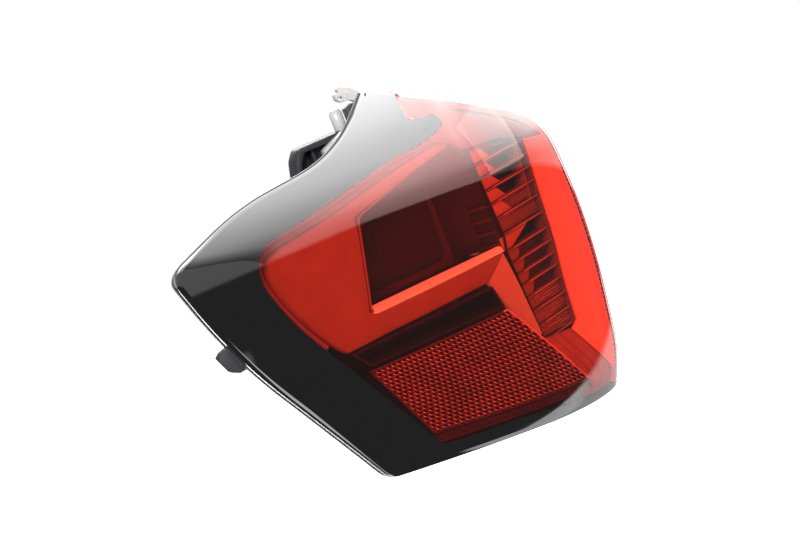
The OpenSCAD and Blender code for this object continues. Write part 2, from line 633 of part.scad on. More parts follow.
// Pale guide parts round the upper peak, behind the lens
fin_front = front_y + 62;
guide_y = front_y + 66;
module guide_bracket() {
    color([0.88, 0.87, 0.86]) slab(fin_front - 7.5, fin_front) difference() {
        polygon([[0.8, 75.2], [2, 75.6], [3, 77.8], [6.2, 78.6], [7.6, 77.4], [8.4, 78.6], [18.6, 82.6],
            [22.6, 86.8], [22.6, 87.6], [20.5, 87.4], [18.3, 85.8], [3, 80], [0.8, 78.6]]);
        translate([16, 83.2]) circle(r = 1.1);
    }
}
module guide_peg() {
    color([0.92, 0.91, 0.9]) translate([22.5, guide_y + 4, 85.5]) union() {
        cylinder(h = 11, r = peg_r);
        translate([0, 0, 11]) cylinder(h = 2.4, r1 = peg_r, r2 = peg_r - 1.6);
    }
}
module top_tongue() {
    low_band = [[28, 101.4, 2], [32.4, 102.1, 2], [36.2, 99.6, 2], [38.9, 95, 1], [41.8, 96.4, 1],
        [39.8, 101.2, 2], [34.4, 106.1, 2], [28, 109, 1.6], [24.6, 108.6, 1.5], [24.4, 104.6, 1.2]];
    high_band = [[35.7, 104.8, 2], [40.1, 101, 2], [43.7, 95.6, 1], [46.6, 96.4, 1], [43.3, 103.2, 2],
        [37.8, 108.2, 2], [30.3, 111.8, 1], [28.9, 110.3, 0.8], [29.5, 108, 1]];
    color([0.9, 0.89, 0.88]) union() {
        slab(guide_y - 2, guide_y + 3) difference() {
            polygon(rounded(low_band, 3));
            translate([27.8, 104.8]) circle(r = 1.2);
        }
        slab(guide_y + 2, guide_y + 7) polygon(rounded(high_band, 3));
    }
}
module bezel_screws() {
    color([0.6, 0.6, 0.62]) for (p = post_list) union() {
        rod(p[0], screw_r, back_y - screw_l, back_y + 0.5);
        rod(p[0], 2 * screw_r, back_y, back_y + 2);
    }
}

outer_lens();
lens_border();
lens_foot();
lens_bead();
housing();
housing_back();
inner_bezel();
bezel_liner();
upper_shield();
window_frame();
bulb_chamber();
smoked_cover();
slotted_screen();
slat_reflector();
turn_chamber();
light_strip();
led_board();
reflex_reflector();
recess_tray();
lower_optic();
corner_shield();
tail_reflector();
tail_bulb();
stop_bulb();
bulb_carrier();
contact_strips();
connector_shroud();
connector_pins();
carrier_seal();
carrier_screws();
body_seal();
main_stud();
lower_stud();
upper_stud();
vent_cap();
guide_bracket();
guide_peg();
top_tongue();
bezel_screws();
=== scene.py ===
import json
import math

import bpy
from mathutils import Matrix, Vector


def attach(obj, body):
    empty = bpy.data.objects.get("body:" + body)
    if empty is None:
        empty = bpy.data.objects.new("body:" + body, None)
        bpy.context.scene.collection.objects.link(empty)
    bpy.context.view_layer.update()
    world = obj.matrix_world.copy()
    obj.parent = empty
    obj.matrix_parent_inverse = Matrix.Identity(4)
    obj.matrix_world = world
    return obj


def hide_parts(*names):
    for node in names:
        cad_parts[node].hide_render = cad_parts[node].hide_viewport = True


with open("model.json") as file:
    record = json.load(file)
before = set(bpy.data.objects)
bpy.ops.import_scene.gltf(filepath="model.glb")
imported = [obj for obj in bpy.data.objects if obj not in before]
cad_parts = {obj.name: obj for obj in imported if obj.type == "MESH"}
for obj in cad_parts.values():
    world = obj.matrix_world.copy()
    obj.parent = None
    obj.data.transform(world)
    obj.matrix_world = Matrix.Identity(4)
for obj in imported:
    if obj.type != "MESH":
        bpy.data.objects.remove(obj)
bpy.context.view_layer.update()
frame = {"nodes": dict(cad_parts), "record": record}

MM = 0.001
nodes = frame["nodes"]

# ---------------------------------------- sizes in mm, as in the part's source
LAMP_DEPTH = 112.0
TIP, PEAK = (-134.0, 51.0), (33.0, 110.0)
OUTER_X, BOTTOM_Z = 161.0, 151.0
SHOULDER = (OUTER_X - 10.0, 44.0)
LENS_T, FOOT_W, WALL_H, FLANGE_STEP, FLANGE_T = 2.8, 3.0, 7.5, 0.8, 3.0
HUB = (30.0, -30.0)
BEZEL_GAP, BEZEL_T = 12.0, 2.2
TUB_SHARE = 0.55
REFLEX_GAP, REFLEX_T = 5.0, 3.4


# ---------------------------------------- the lens surface
def fall(d, r, angle):
    """How far a bend of radius r has fallen back at distance d, then straight on past its end angle."""
    m = r * math.sin(math.radians(angle))
    c = min(max(d, 0.0), m)
    return r - math.sqrt(r * r - c * c) + max(d - m, 0.0) * math.tan(math.radians(angle))


def corner_reach(x, z):
    """How far a place is past the line where the lower outboard corner starts to bend back."""
    u, v = OUTER_X + 2 - x, z + BOTTOM_Z - 12
    return (590 - u * v) / math.hypot(u, v)


def face(x, z):
    """Front surface of the lens: y for a place seen from behind the car."""
    bulge = x * x / 1200 + z * z / 1600
    return (-LAMP_DEPTH + bulge + fall(z - 34 + 0.1 * x, 135, 48) + fall(x - 62, 150, 36)
            + fall(corner_reach(x, z), 70, 30))


def slope(x, z):
    """Length along the face's normal for 1 mm along Y."""
    return math.sqrt((face(x + 1, z) - face(x, z)) ** 2 + 1 + (face(x, z + 1) - face(x, z)) ** 2)


def behind(p, d):
    """Point behind the lens face by a distance measured square to it."""
    return (p[0], face(p[0], p[1]) + d * slope(p[0], p[1]), p[1])


def add(p, q, s=1.0):
    return tuple(a + b * s for a, b in zip(p, q))


def mix(p, q, t):
    return tuple(a + (b - a) * t for a, b in zip(p, q))


def unit(p):
    n = math.sqrt(sum(a * a for a in p))
    return tuple(a / n for a in p)


def curve(p, b, q, steps):
    """Points of the rounding that runs from p to q, with its corner at b."""
    return [tuple((1 - s) ** 2 * p[j] + 2 * s * (1 - s) * b[j] + s * s * q[j] for j in (0, 1))
            for s in (k / steps for k in range(steps + 1))]


def rounded(corners, steps=8):
    """Closed outline; each corner is (x, z, reach of its rounding)."""
    out = []
    n = len(corners)
    for i, c in enumerate(corners):
        a, b, d = corners[i - 1][:2], c[:2], corners[(i + 1) % n][:2]
        if len(c) < 3:
            out.append(b)
            continue
        p = add(b, unit(add(a, b, -1)), c[2])
        q = add(b, unit(add(d, b, -1)), c[2])
        out += curve(p, b, q, steps)
    return out


def refined(pts, step):
    """Closed outline with no stretch longer than the step."""
    out = []
    for i, a in enumerate(pts):
        b = pts[(i + 1) % len(pts)]
        n = max(1, math.ceil(math.dist(a, b) / step))
        out += [mix(a, b, k / n) for k in range(n)]
    return out


def outward(pts, i):
    """Outer side of a closed outline at point i."""
    a, b = pts[i - 1], pts[(i + 1) % len(pts)]
    d = unit(add(b, a, -1))
    return (d[1], -d[0])


def grown(pts, d):
    """Closed outline moved outwards by d, with its corners kept."""
    out = []
    for i, p in enumerate(pts):
        e = unit(add(p, pts[i - 1], -1))
        f = unit(add(pts[(i + 1) % len(pts)], p, -1))
        a, b = (e[1], -e[0]), (f[1], -f[0])
        k = d / (1 + a[0] * b[0] + a[1] * b[1])
        out.append((p[0] + (a[0] + b[0]) * k, p[1] + (a[1] + b[1]) * k))
    return out


def reach_to(pts, d):
    """Distance from the hub to a closed outline in the direction d."""
    best = 1e9
    for i, p in enumerate(pts):
        q = pts[(i + 1) % len(pts)]
        a, e = add(p, HUB, -1), add(q, p, -1)
        den = d[0] * e[1] - d[1] * e[0]
        if abs(den) < 1e-9:
            continue
        t = (a[0] * e[1] - a[1] * e[0]) / den
        s = (a[0] * d[1] - a[1] * d[0]) / den
        if t > 0 and -1e-6 <= s <= 1 + 1e-6:
            best = min(best, t)
    return best


def bend(a, b, c, reach, steps=8):
    """Rounding at b of an open line that comes from a and goes on to c."""
    return curve(add(b, unit(add(a, b, -1)), reach), b, add(b, unit(add(c, b, -1)), reach), steps)


def away(pts, i):
    """Outer side of an open line at point i."""
    a, b = pts[max(i - 1, 0)], pts[min(i + 1, len(pts) - 1)]
    d = unit(add(b, a, -1))
    return (d[1], -d[0])


def through(points, per):
    """Smooth open curve through the points, with `per` steps between neighbours."""
    pts = [points[0]] + list(points) + [points[-1]]
    out = []
    for i in range(1, len(pts) - 2):
        p0, p1, p2, p3 = pts[i - 1:i + 3]
        for k in range(per):
            t = k / per
            out.append(tuple(0.5 * (2 * b + (c - a) * t + (2 * a - 5 * b + 4 * c - d) * t * t
                                    + (3 * b - a - 3 * c + d) * t ** 3)
                             for a, b, c, d in zip(p0, p1, p2, p3)))
    return out + [tuple(points[-1])]


# The border ends at this share of the way from the peak to the shoulder
BORDER_END = 0.125
OUTLINE_STEP = 3.2
border_end = mix(PEAK, SHOULDER, BORDER_END)
border_dir = unit(add(border_end, HUB, -1))
outline = refined(rounded([
    (OUTER_X, -32, 46), SHOULDER + (25,), add(border_end, (0.1, -0.056)), add(border_end, (-0.1, 0.056)),
    PEAK + (7,), (-11, 79, 26), (-80, 73, 24), TIP + (12,), (-116, -12, 40), (-53, 28 - BOTTOM_Z, 7),
    (OUTER_X - 18, -BOTTOM_Z, 13)], 10), OUTLINE_STEP)
face_line = grown(outline, -FOOT_W)
border_line = rounded([
    (OUTER_X + 60, -167), (OUTER_X + 60, 140), add(HUB, border_dir, 190), add(HUB, border_dir, 96) + (6,),
    (-24, 55, 20), (-78, 45, 9), (-86, 28, 12), (-76, -6, 22), (-13, -118, 3), (62, -129, 30)], 14)
shares = []
for p in face_line:
    d = add(p, HUB, -1)
    shares.append(min(1.0, reach_to(border_line, unit(d)) / math.hypot(*d)))
window_edge = [add(HUB, add(p, HUB, -1), s) for p, s in zip(face_line, shares)]
foot_h = WALL_H + FLANGE_T
# Down to this depth the rolled edge follows the fall of the face; further down the upper wall leans in
ROLL_DEPTH, LEAN_FROM, LEAN_IN = 2.6, 2, 0.45


def wall_point(i, off, depth):
    """Point of the side wall: offset from the outline, and depth behind the edge of the face."""
    e, o = face_line[i], outward(outline, i)
    d = off - LEAN_IN * max(0.0, o[1]) * max(0.0, depth - LEAN_FROM)
    x, z = outline[i][0] + o[0] * d, outline[i][1] + o[1] * d
    y = face(*e) + depth
    if depth <= ROLL_DEPTH:
        y = max(y, min(face(x, z) + depth, face(*e) + WALL_H - 1.3))
    return (x, y, z)


# ---------------------------------------- colours and shader nodes
def shade(code):
    """sRGB hex to linear."""
    out = []
    for i in (0, 2, 4):
        v = int(code[i:i + 2], 16) / 255
        out.append(v / 12.92 if v <= 0.04045 else ((v + 0.055) / 1.055) ** 2.4)
    return (*out, 1.0)


def node(mat, kind, settings=None, links=None):
    """Adds one shader node; settings are inputs or properties, links are {input: (node, output)}."""
    n = mat.node_tree.nodes.new(kind)
    for key, value in (settings or {}).items():
        if isinstance(key, int) or key in n.inputs:
            n.inputs[key].default_value = value
        else:
            setattr(n, key, value)
    for key, (src, out) in (links or {}).items():
        mat.node_tree.links.new(src.outputs[out], n.inputs[key])
    return n


def blank(name):
    mat = bpy.data.materials.new(name)
    mat.use_nodes = True
    mat.node_tree.nodes.clear()
    return mat


def finish_with(mat, shader):
    node(mat, "ShaderNodeOutputMaterial", links={"Surface": (shader, 0)})
    return mat


PLASTIC_IOR, GLASS_IOR = 1.49, 1.52
# Width of the faint mottling of a surface, in mm
CLOUD = 14
RED_GLOW, WARM_GLOW, PINK_GLOW = (1.0, 0.13, 0.09, 1.0), (1.0, 0.8, 0.7, 1.0), (1.0, 0.6, 0.55, 1.0)


def moulded(name, colour, rough=0.4, grain=0.5, depth=0.0, metallic=0.0, mottle=0.12, coat=0.0, glow=0.0,
            glow_tone=RED_GLOW):
    """Base of the solid finishes: a colour with faint mottling, a grain in mm and its roughness."""
    mat = blank(name)
    place = node(mat, "ShaderNodeTexCoord")
    at = {"Vector": (place, "Object")}
    middle = {"From Min": 0.3, "From Max": 0.7}
    wide = node(mat, "ShaderNodeTexNoise", {"Scale": 1 / (CLOUD * MM), "Detail": 3.0}, at)
    fine = node(mat, "ShaderNodeTexNoise", {"Scale": 1 / (grain * MM), "Detail": 2.0}, at)
    tone = node(mat, "ShaderNodeMapRange", {**middle, "To Min": 1 - mottle, "To Max": 1 + mottle},
                {"Value": (wide, "Fac")})
    tint = node(mat, "ShaderNodeVectorMath", {"operation": "SCALE", 0: shade(colour)[:3]}, {"Scale": (tone, 0)})
    dull = node(mat, "ShaderNodeMapRange", {**middle, "To Min": rough * 0.85, "To Max": rough * 1.15},
                {"Value": (fine, "Fac")})
    bump = node(mat, "ShaderNodeBump", {"Strength": 0.6, "Distance": depth * MM}, {"Height": (fine, "Fac")})
    # A metal keeps the shader's own IOR
    index = {} if metallic else {"IOR": PLASTIC_IOR}
    body = node(mat, "ShaderNodeBsdfPrincipled", {
        "Metallic": metallic, "Coat Weight": coat, "Coat Roughness": 0.05, "Emission Color": glow_tone,
        "Emission Strength": glow, **index}, {"Base Color": (tint, 0), "Roughness": (dull, 0), "Normal": (bump, 0)})
    return finish_with(mat, body)


# Reflectance of the lens where it is seen square on and where it starts to be seen along its surface
SQUARE_ON, SLANTING = 0.0395, 0.05
SLANTING_SHEEN = (1.0, 0.98, 0.97, 1.0)


def clear_tint(name, colour, sheen=(1.0, 1.0, 1.0, 1.0), ior=PLASTIC_IOR):
    """Clear moulding: what is behind shows through its tint at each surface, with a polished reflection.
    The sheen adds the reflection of the inner surface, seen through the tint, to that of the outer one."""
    mat = blank(name)
    through_it = node(mat, "ShaderNodeBsdfTransparent", {"Color": colour})
    edge = node(mat, "ShaderNodeFresnel", {"IOR": ior})
    slant = node(mat, "ShaderNodeMapRange", {"From Min": SQUARE_ON, "From Max": SLANTING}, {"Value": (edge, 0)})
    tone = node(mat, "ShaderNodeMix", {"data_type": "RGBA", 6: sheen, 7: SLANTING_SHEEN}, {0: (slant, 0)})
    gloss = node(mat, "ShaderNodeBsdfGlossy", {"Roughness": 0.0}, {"Color": (tone, 2)})
    side = node(mat, "ShaderNodeNewGeometry")
    front = node(mat, "ShaderNodeMath", {"operation": "SUBTRACT", 0: 1.0}, {1: (side, "Backfacing")})
    outer = node(mat, "ShaderNodeMath", {"operation": "MULTIPLY"}, {0: (edge, 0), 1: (front, 0)})
    both = node(mat, "ShaderNodeMixShader", links={0: (outer, 0), 1: (through_it, 0), 2: (gloss, 0)})
    return finish_with(mat, both)


# PMMA, injection moulded in two shots and left as it comes from a polished mould
red_pmma = clear_tint("red_PMMA", (0.93, 0.41, 0.31, 1.0), (1.5, 0.9, 0.87, 1.0))
black_pmma = moulded("black_PMMA_gloss", "0A0A0B", rough=0.03, grain=0.8, mottle=0.02)
# The foot is the same polished moulding in smoke, seen against the dark housing
smoke_pmma = moulded("smoke_PMMA_foot", "1E1E20", rough=0.25, depth=0.004, mottle=0.05)
# A lighter, dull copy of the smoke: a painted sheen on the upper side along the border
smoke_painted_sheen = moulded("smoke_PMMA_painted_sheen_edge", "343436", rough=0.8, depth=0.004, mottle=0.05)
smoke_rim = moulded("smoke_PMMA_rim", "29292C", rough=0.5, depth=0.006, mottle=0.06)
# Past the black border the edge of the lens is red all through: bright on its roll, and painted dark on the end of
# the roll as its shade; its upper and inner sides take a pale glowing copy, a painted highlight
red_edge = moulded("red_PMMA_edge", "F02A1E", rough=0.08, mottle=0.02)
red_painted_shade = moulded("red_PMMA_painted_shade_edge", "3A1210", rough=0.08, mottle=0.02)
painted_highlight_edge = moulded("red_PMMA_painted_highlight_edge", "F6DCD8", rough=0.2, mottle=0.02, glow=0.2)
# Hot melt sealant, dull and slightly wavy
sealant = moulded("hot_melt_sealant", "1A1A1B", rough=0.6, grain=1.2, depth=0.15)
# ABS housing, moulded against a spark eroded tool: fine grain, soft sheen
abs_black = moulded("ABS_black_grained", "2C2C2F", rough=0.42, grain=0.45, depth=0.04)
# A darker, duller copy: painted shade, on the back, the window side and the ends of the black border
abs_shadow = moulded("ABS_black_painted_shade", "101011", rough=0.55, grain=0.45, depth=0.04)
# ABS bezel with satin silver lacquer: a fine sparkle in an even satin sheen
silver_lacquer = moulded("ABS_silver_lacquer", "93877F", rough=0.38, grain=0.3, depth=0.016, mottle=0.07)
# A lighter copy of the lacquer that glows: painted light on the leg
silver_leg_painted_lit = moulded("ABS_silver_lacquer_painted_lit", "AEA29C", rough=0.38, grain=0.3, depth=0.014, mottle=0.05,
                     glow=0.16, glow_tone=WARM_GLOW)
# A near-white copy that glows: a painted highlight on the lip
silver_lip_painted_highlight = moulded("ABS_silver_lacquer_painted_highlight", "F4EEEA", rough=0.35, grain=0.3, depth=0.008, mottle=0.03,
                     glow=0.8, glow_tone=PINK_GLOW)
# A lighter copy of the vapour coating: painted light, on the lit facets, the slats' front edges and the streaks
coat_painted_lit = moulded("PC_vapour_coated_painted_lit", "B4A8A2", rough=0.25, grain=0.6, depth=0.01, mottle=0.1)
liner_tone = moulded("ABS_dark_liner", "9A7C76", rough=0.4, grain=0.4, depth=0.01, mottle=0.1)
shield_tone = moulded("ABS_shield_satin", "655753", rough=0.4, grain=0.4, depth=0.01, mottle=0.05)
corner_tone = moulded("PC_corner_tinted", "A88680", rough=0.3, depth=0.006, mottle=0.1)
# A lighter copy of the liner for its ridges: a painted highlight
liner_ridge_highlight = moulded("ABS_liner_ridge_painted_highlight", "C8A49C", rough=0.35, grain=0.4, depth=0.01, mottle=0.05)
# Polycarbonate plates with a vapour coating, dulled by the smoke tint in front of them
bright_coat = moulded("PC_vapour_coated", "887C76", rough=0.3, grain=0.6, depth=0.01, mottle=0.08)
smoke_plate = moulded("PC_smoke", "2E1C19", rough=0.42, grain=0.4, depth=0.004, mottle=0.06)
smoke_step = moulded("PC_smoke_step", "4A2E2A", rough=0.45, grain=0.4, depth=0.006, mottle=0.06)
dark_inner = moulded("PBT_dark", "241614", rough=0.5, grain=0.4, depth=0.02)
# Frosted light guide in front of white card: flat, and made luminous by a painted glow
light_guide = moulded("PMMA_frosted_guide_painted_glow", "FFF0EA", rough=0.5, grain=0.3, depth=0.004, mottle=0.015, glow=0.34)
# Copies of the reflector's red: a light glowing one is painted light on the lit sides of the cells and the right of
# the rim, a dim one is painted shade on their other sides, and a dark one is painted shade in the pits as well as
# the plain dark of the back and the lower band
reflex_red = moulded("PMMA_reflex_painted_lit", "E4AAA2", rough=0.25, mottle=0.25, coat=0.3, glow=0.1,
                     glow_tone=WARM_GLOW)
reflex_side = moulded("PMMA_reflex_side", "5A302C", rough=0.3, mottle=0.2)
reflex_painted_dim = moulded("PMMA_reflex_lattice_painted_dim", "7A544E", rough=0.3, mottle=0.3, coat=0.2)
reflex_dark_and_pit_shade = moulded("PMMA_reflex_dark_and_pit_shade", "180C0B", rough=0.35, mottle=0.1)
acetal = moulded("acetal_natural", "BEBCBA", rough=0.22, depth=0.008, mottle=0.05, coat=0.4)
carrier_pbt = moulded("PBT_natural_grey", "B4B4AE", rough=0.42, depth=0.02, mottle=0.06)
pbt_black = moulded("PBT_black", "161617", rough=0.45, grain=0.4, depth=0.02)
foam = moulded("closed_cell_foam", "19191A", rough=0.85, grain=0.9, depth=0.35, mottle=0.2)
zinc = moulded("zinc_plated_steel", "B9BCC0", rough=0.32, depth=0.01, metallic=1.0, mottle=0.08)
# Studs: the same plating over a rolled thread of 1 mm pitch, which runs along Y. At scale 1 the wave has
# 3.183 crests in a unit of length
CREST = 0.314
zinc_thread = moulded("zinc_plated_thread", "B9BCC0", rough=0.3, depth=0.4, metallic=1.0, mottle=0.08)
parts_of = {n.bl_idname: n for n in zinc_thread.node_tree.nodes}
crests = node(zinc_thread, "ShaderNodeTexWave", {"bands_direction": "Y", "Scale": CREST / MM},
              {"Vector": (parts_of["ShaderNodeTexCoord"], "Object")})
zinc_thread.node_tree.links.new(crests.outputs["Fac"], parts_of["ShaderNodeBump"].inputs["Height"])
brass = moulded("tinned_brass", "C6B07A", rough=0.35, grain=0.4, depth=0.01, metallic=1.0, mottle=0.08)
board_green = moulded("board_solder_mask", "1F5A38", rough=0.3, grain=0.8, depth=0.004)
bulb_glass = clear_tint("soda_glass", (0.96, 0.96, 0.96, 1.0), ior=GLASS_IOR)


# ---------------------------------------- making pieces
def only(o):
    bpy.ops.object.select_all(action="DESELECT")
    o.select_set(True)
    bpy.context.view_layer.objects.active = o


def in_edit(o, *steps):
    only(o)
    bpy.ops.object.mode_set(mode="EDIT")
    bpy.ops.mesh.select_mode(type="VERT")
    bpy.ops.mesh.select_all(action="SELECT")
    for step in steps:
        step()
    bpy.ops.object.mode_set(mode="OBJECT")


def apply(o, kind, **settings):
    only(o)
    m = o.modifiers.new(kind.title(), kind)
    for key, value in settings.items():
        setattr(m, key, value)
    bpy.ops.object.modifier_apply(modifier=m.name)


def soften(o, width, segments=2, angle=30):
    apply(o, "BEVEL", width=width * MM, segments=segments, limit_method="ANGLE",
          angle_limit=math.radians(angle), use_clamp_overlap=True)


def dress(o, finish, angle=35):
    only(o)
    several = isinstance(finish, list)
    if not several:
        o.data.materials.clear()
    for m in finish if several else [finish]:
        o.data.materials.append(m)
    bpy.ops.object.shade_smooth_by_angle(angle=math.radians(angle))


def primitive(add_it, name, **settings):
    """Adds a mesh primitive under its own name."""
    bpy.ops.object.select_all(action="DESELECT")
    add_it(**settings)
    bpy.context.object.name = name
    return bpy.context.object


def close_up():
    bpy.ops.mesh.remove_doubles(threshold=1e-6)


def fill_ends():
    bpy.ops.mesh.select_all(action="DESELECT")
    bpy.ops.mesh.select_non_manifold(extend=False, use_wire=False, use_boundary=True, use_multi_face=False,
                                     use_non_contiguous=False, use_verts=False)
    bpy.ops.mesh.fill_holes(sides=0)
    bpy.ops.mesh.select_all(action="SELECT")


def outsides():
    bpy.ops.mesh.normals_make_consistent(inside=False)


def lay(name, rows, finish, ends=False, angle=35, pick=None):
    """A grid primitive whose rows of corners are laid on the given points, in mm; doubles close it up.
    With pick, finish is a list and pick(row, column) says which of them a face takes."""
    nu, nv = len(rows[0]) - 1, len(rows) - 1
    o = primitive(bpy.ops.mesh.primitive_grid_add, name, x_subdivisions=nu, y_subdivisions=nv, size=2)
    for v in o.data.vertices:
        i, j = round((v.co.x + 1) / 2 * nu), round((v.co.y + 1) / 2 * nv)
        v.co = Vector(rows[j][i]) * MM
    if pick:
        for q in o.data.polygons:
            q.material_index = pick(q.index // nu, q.index % nu)
    in_edit(o, close_up, *([fill_ends] if ends else []), outsides)
    dress(o, finish, angle)
    return o


def ring(name, sections, finish, angle=35, pick=None):
    """Closed run of closed sections."""
    rows = [list(s) + [s[0]] for s in sections]
    return lay(name, rows + [rows[0]], finish, angle=angle, pick=pick)


def bar(name, sections, finish, angle=35, pick=None):
    """Open run of closed sections, with both ends filled."""
    return lay(name, [list(s) + [s[0]] for s in sections], finish, ends=True, angle=angle, pick=pick)


def skin(a, b, cuts, near, far, rise=0.0):
    """Sections of a sheet behind the lens between two lines of places; it rises towards the second."""
    out = []
    for p, q in zip(a, b):
        front = [behind(mix(p, q, j / cuts), near - rise * (j / cuts) ** 1.5) for j in range(cuts + 1)]
        back = [behind(mix(p, q, j / cuts), far - rise * (j / cuts) ** 1.5) for j in range(cuts, -1, -1)]
        out.append(front + back)
    return out


def block(name, place, u, w, z, finish, edge=0.2):
    """A cube primitive whose corners are put at place(u, w, z), with its edges softened."""
    o = primitive(bpy.ops.mesh.primitive_cube_add, name, size=2)
    for v in o.data.vertices:
        at = [s[0] if c < 0 else s[1] for s, c in zip((u, w, z), v.co)]
        v.co = Vector(place(*at)) * MM
    in_edit(o, outsides)
    if edge:
        soften(o, edge)
    dress(o, finish)
    return o


def plate(name, place, corners, w, finish, edge=0.2):
    """A circle primitive set to an outline in the place's own (u, z), extruded from w[0] to w[1]."""
    o = primitive(bpy.ops.mesh.primitive_circle_add, name, vertices=len(corners), fill_type="NGON")
    order = sorted(o.data.vertices, key=lambda v: math.atan2(v.co.y, v.co.x) % (2 * math.pi))
    for v, c in zip(order, corners):
        v.co = (c[0], w[0], c[1])
    thick = {"value": (0, w[1] - w[0], 0)}
    in_edit(o, lambda: bpy.ops.mesh.extrude_region_move(TRANSFORM_OT_translate=thick),
            lambda: bpy.ops.mesh.select_all(action="SELECT"), outsides)
    for v in o.data.vertices:
        v.co = Vector(place(*v.co)) * MM
    in_edit(o, outsides)
    if edge:
        soften(o, edge)
    dress(o, finish)
    return o


def join(name, parts):
    bpy.ops.object.select_all(action="DESELECT")
    for p in parts:
        p.select_set(True)
    bpy.context.view_layer.objects.active = parts[0]
    bpy.ops.object.join()
    parts[0].name = name
    return parts[0]


def hand_over(o, slot, *stands_for):
    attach(o, "root")
    if stands_for:
        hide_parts(*stands_for)


def copy_of(name, cad, finish, edge=0.25, angle=35):
    """A merged copy of a CAD node, with its edges softened as moulded or turned edges are."""
    src = nodes[cad]
    o = src.copy()
    o.data = src.data.copy()
    o.name = name
    bpy.context.collection.objects.link(o)
    o.hide_render = False
    in_edit(o, lambda: bpy.ops.mesh.remove_doubles(threshold=2e-6),
            lambda: bpy.ops.mesh.dissolve_limited(angle_limit=math.radians(1.0)))
    o.modifiers.clear()
    if edge:
        soften(o, edge, 2, 40)
    dress(o, finish, angle)
    return o


def flat(x, y, z):
    return (x, y, z)


# ---------------------------------------- lens, border, foot
n_out = len(outline)
reach = [math.dist(HUB, p) for p in window_edge]
# The inner rings of the lens keep an even width past the end of the border; the outer ones fill up to its edge
NEAR = 8
around = range(-NEAR, NEAR + 1)
least = [min(reach[(i + k) % n_out] for k in around) for i in range(n_out)]
even = [0.9 * sum(least[(i + k) % n_out] for k in around) / len(around) for i in range(n_out)]
INNER, OUTER = 42, 16
inner_rings = [0.0, 0.06] + [0.06 + 0.94 * (k / INNER) ** 0.8 for k in range(1, INNER + 1)]


def lens_line(i):
    """Places of the lens mesh from the hub to its edge at station i."""
    inner = [mix(HUB, window_edge[i], even[i] / reach[i] * t) for t in inner_rings]
    return inner + [mix(inner[-1], window_edge[i], k / OUTER) for k in range(1, OUTER + 1)]


lens_rows = []
for i in range(n_out + 1):
    row = lens_line(i % n_out)
    lens_rows.append([behind(q, 0) for q in row] + [behind(q, LENS_T) for q in reversed(row)])
lens = lay("red_lens", lens_rows, red_pmma, angle=60)
hand_over(lens, "red_lens", "outer_lens")

first = next(i for i in range(n_out) if shares[i] < 1 and shares[i - 1] >= 1)
run = [(first - 1 + k) % n_out for k in range(sum(s < 1 for s in shares) + 2)]
BORDER_CUTS = 16
border = bar("black_border",
             skin([face_line[i] for i in run], [window_edge[i] for i in run], BORDER_CUTS, 0, LENS_T),
             [black_pmma, abs_shadow], angle=60, pick=lambda j, i: 1 if i >= BORDER_CUTS else 0)
# Its two filled ends take the same dull painted shade as well
for q in border.data.polygons:
    if len(q.vertices) > 4:
        q.material_index = 1
hand_over(border, "black_border", "lens_border")

# Offset from the outline and depth: the rolled edge, the wall, the flange, and the inner side
EASE = 0.3
foot_profile = [(-1.5, 0.1), (-0.8, 0.28), (-0.3, 0.7), (-0.05, 1.4), (0, ROLL_DEPTH),
                (0, WALL_H - 1.0), (0.15, WALL_H - 0.35),
                (FLANGE_STEP - EASE, WALL_H), (FLANGE_STEP, WALL_H + EASE), (FLANGE_STEP, foot_h - EASE),
                (FLANGE_STEP - EASE, foot_h), (-LENS_T, foot_h), (-LENS_T, LENS_T * 1.3 + 1.6)]
# Faces of a section: up to 2 the roll, up to 4 its end, up to 7 the wall, up to 11 the flange, then the inner side
ROLL_TOP, ROLL_LAST, WALL_LAST, FLANGE_LAST = 2, 4, 7, 11
BLACK, RED, SMOKE, RIM, PAINTED_HIGHLIGHT, PAINTED_SHADE, PAINTED_SHEEN = range(7)
foot_finishes = [black_pmma, red_edge, smoke_pmma, smoke_rim, painted_highlight_edge, red_painted_shade, smoke_painted_sheen]


def foot_finish(i, j):
    """Finish of face j at station i: black or red at the edge of the face, smoke on the wall and the flange; a pale
    glowing painted highlight on the upper side and on the inner side past the border, a dull painted sheen on the
    upper side along the border past its roll, and painted shade on the end of the red roll.
    """
    upper = outward(outline, i)[1] > 0.45
    bordered = shares[i] < 1
    if upper and outline[i][0] > PEAK[0] - 4:
        return PAINTED_HIGHLIGHT
    if upper and bordered and j >= ROLL_LAST:
        return PAINTED_SHEEN
    if ROLL_LAST < j <= FLANGE_LAST:
        return PAINTED_HIGHLIGHT if upper else SMOKE if j <= WALL_LAST else RIM
    if bordered:
        return BLACK
    return PAINTED_HIGHLIGHT if upper or j > FLANGE_LAST else PAINTED_SHADE if j > ROLL_TOP else RED


foot_sections = []
for i, (x, z) in enumerate(face_line):
    foot_sections.append([(x, face(x, z), z)] + [wall_point(i, a, b) for a, b in foot_profile]
                         + [(x, face(x, z) + LENS_T * slope(x, z), z)])
foot = ring("lens_foot_smoke", foot_sections, foot_finishes, angle=40, pick=foot_finish)
hand_over(foot, "smoke_foot", "lens_foot")

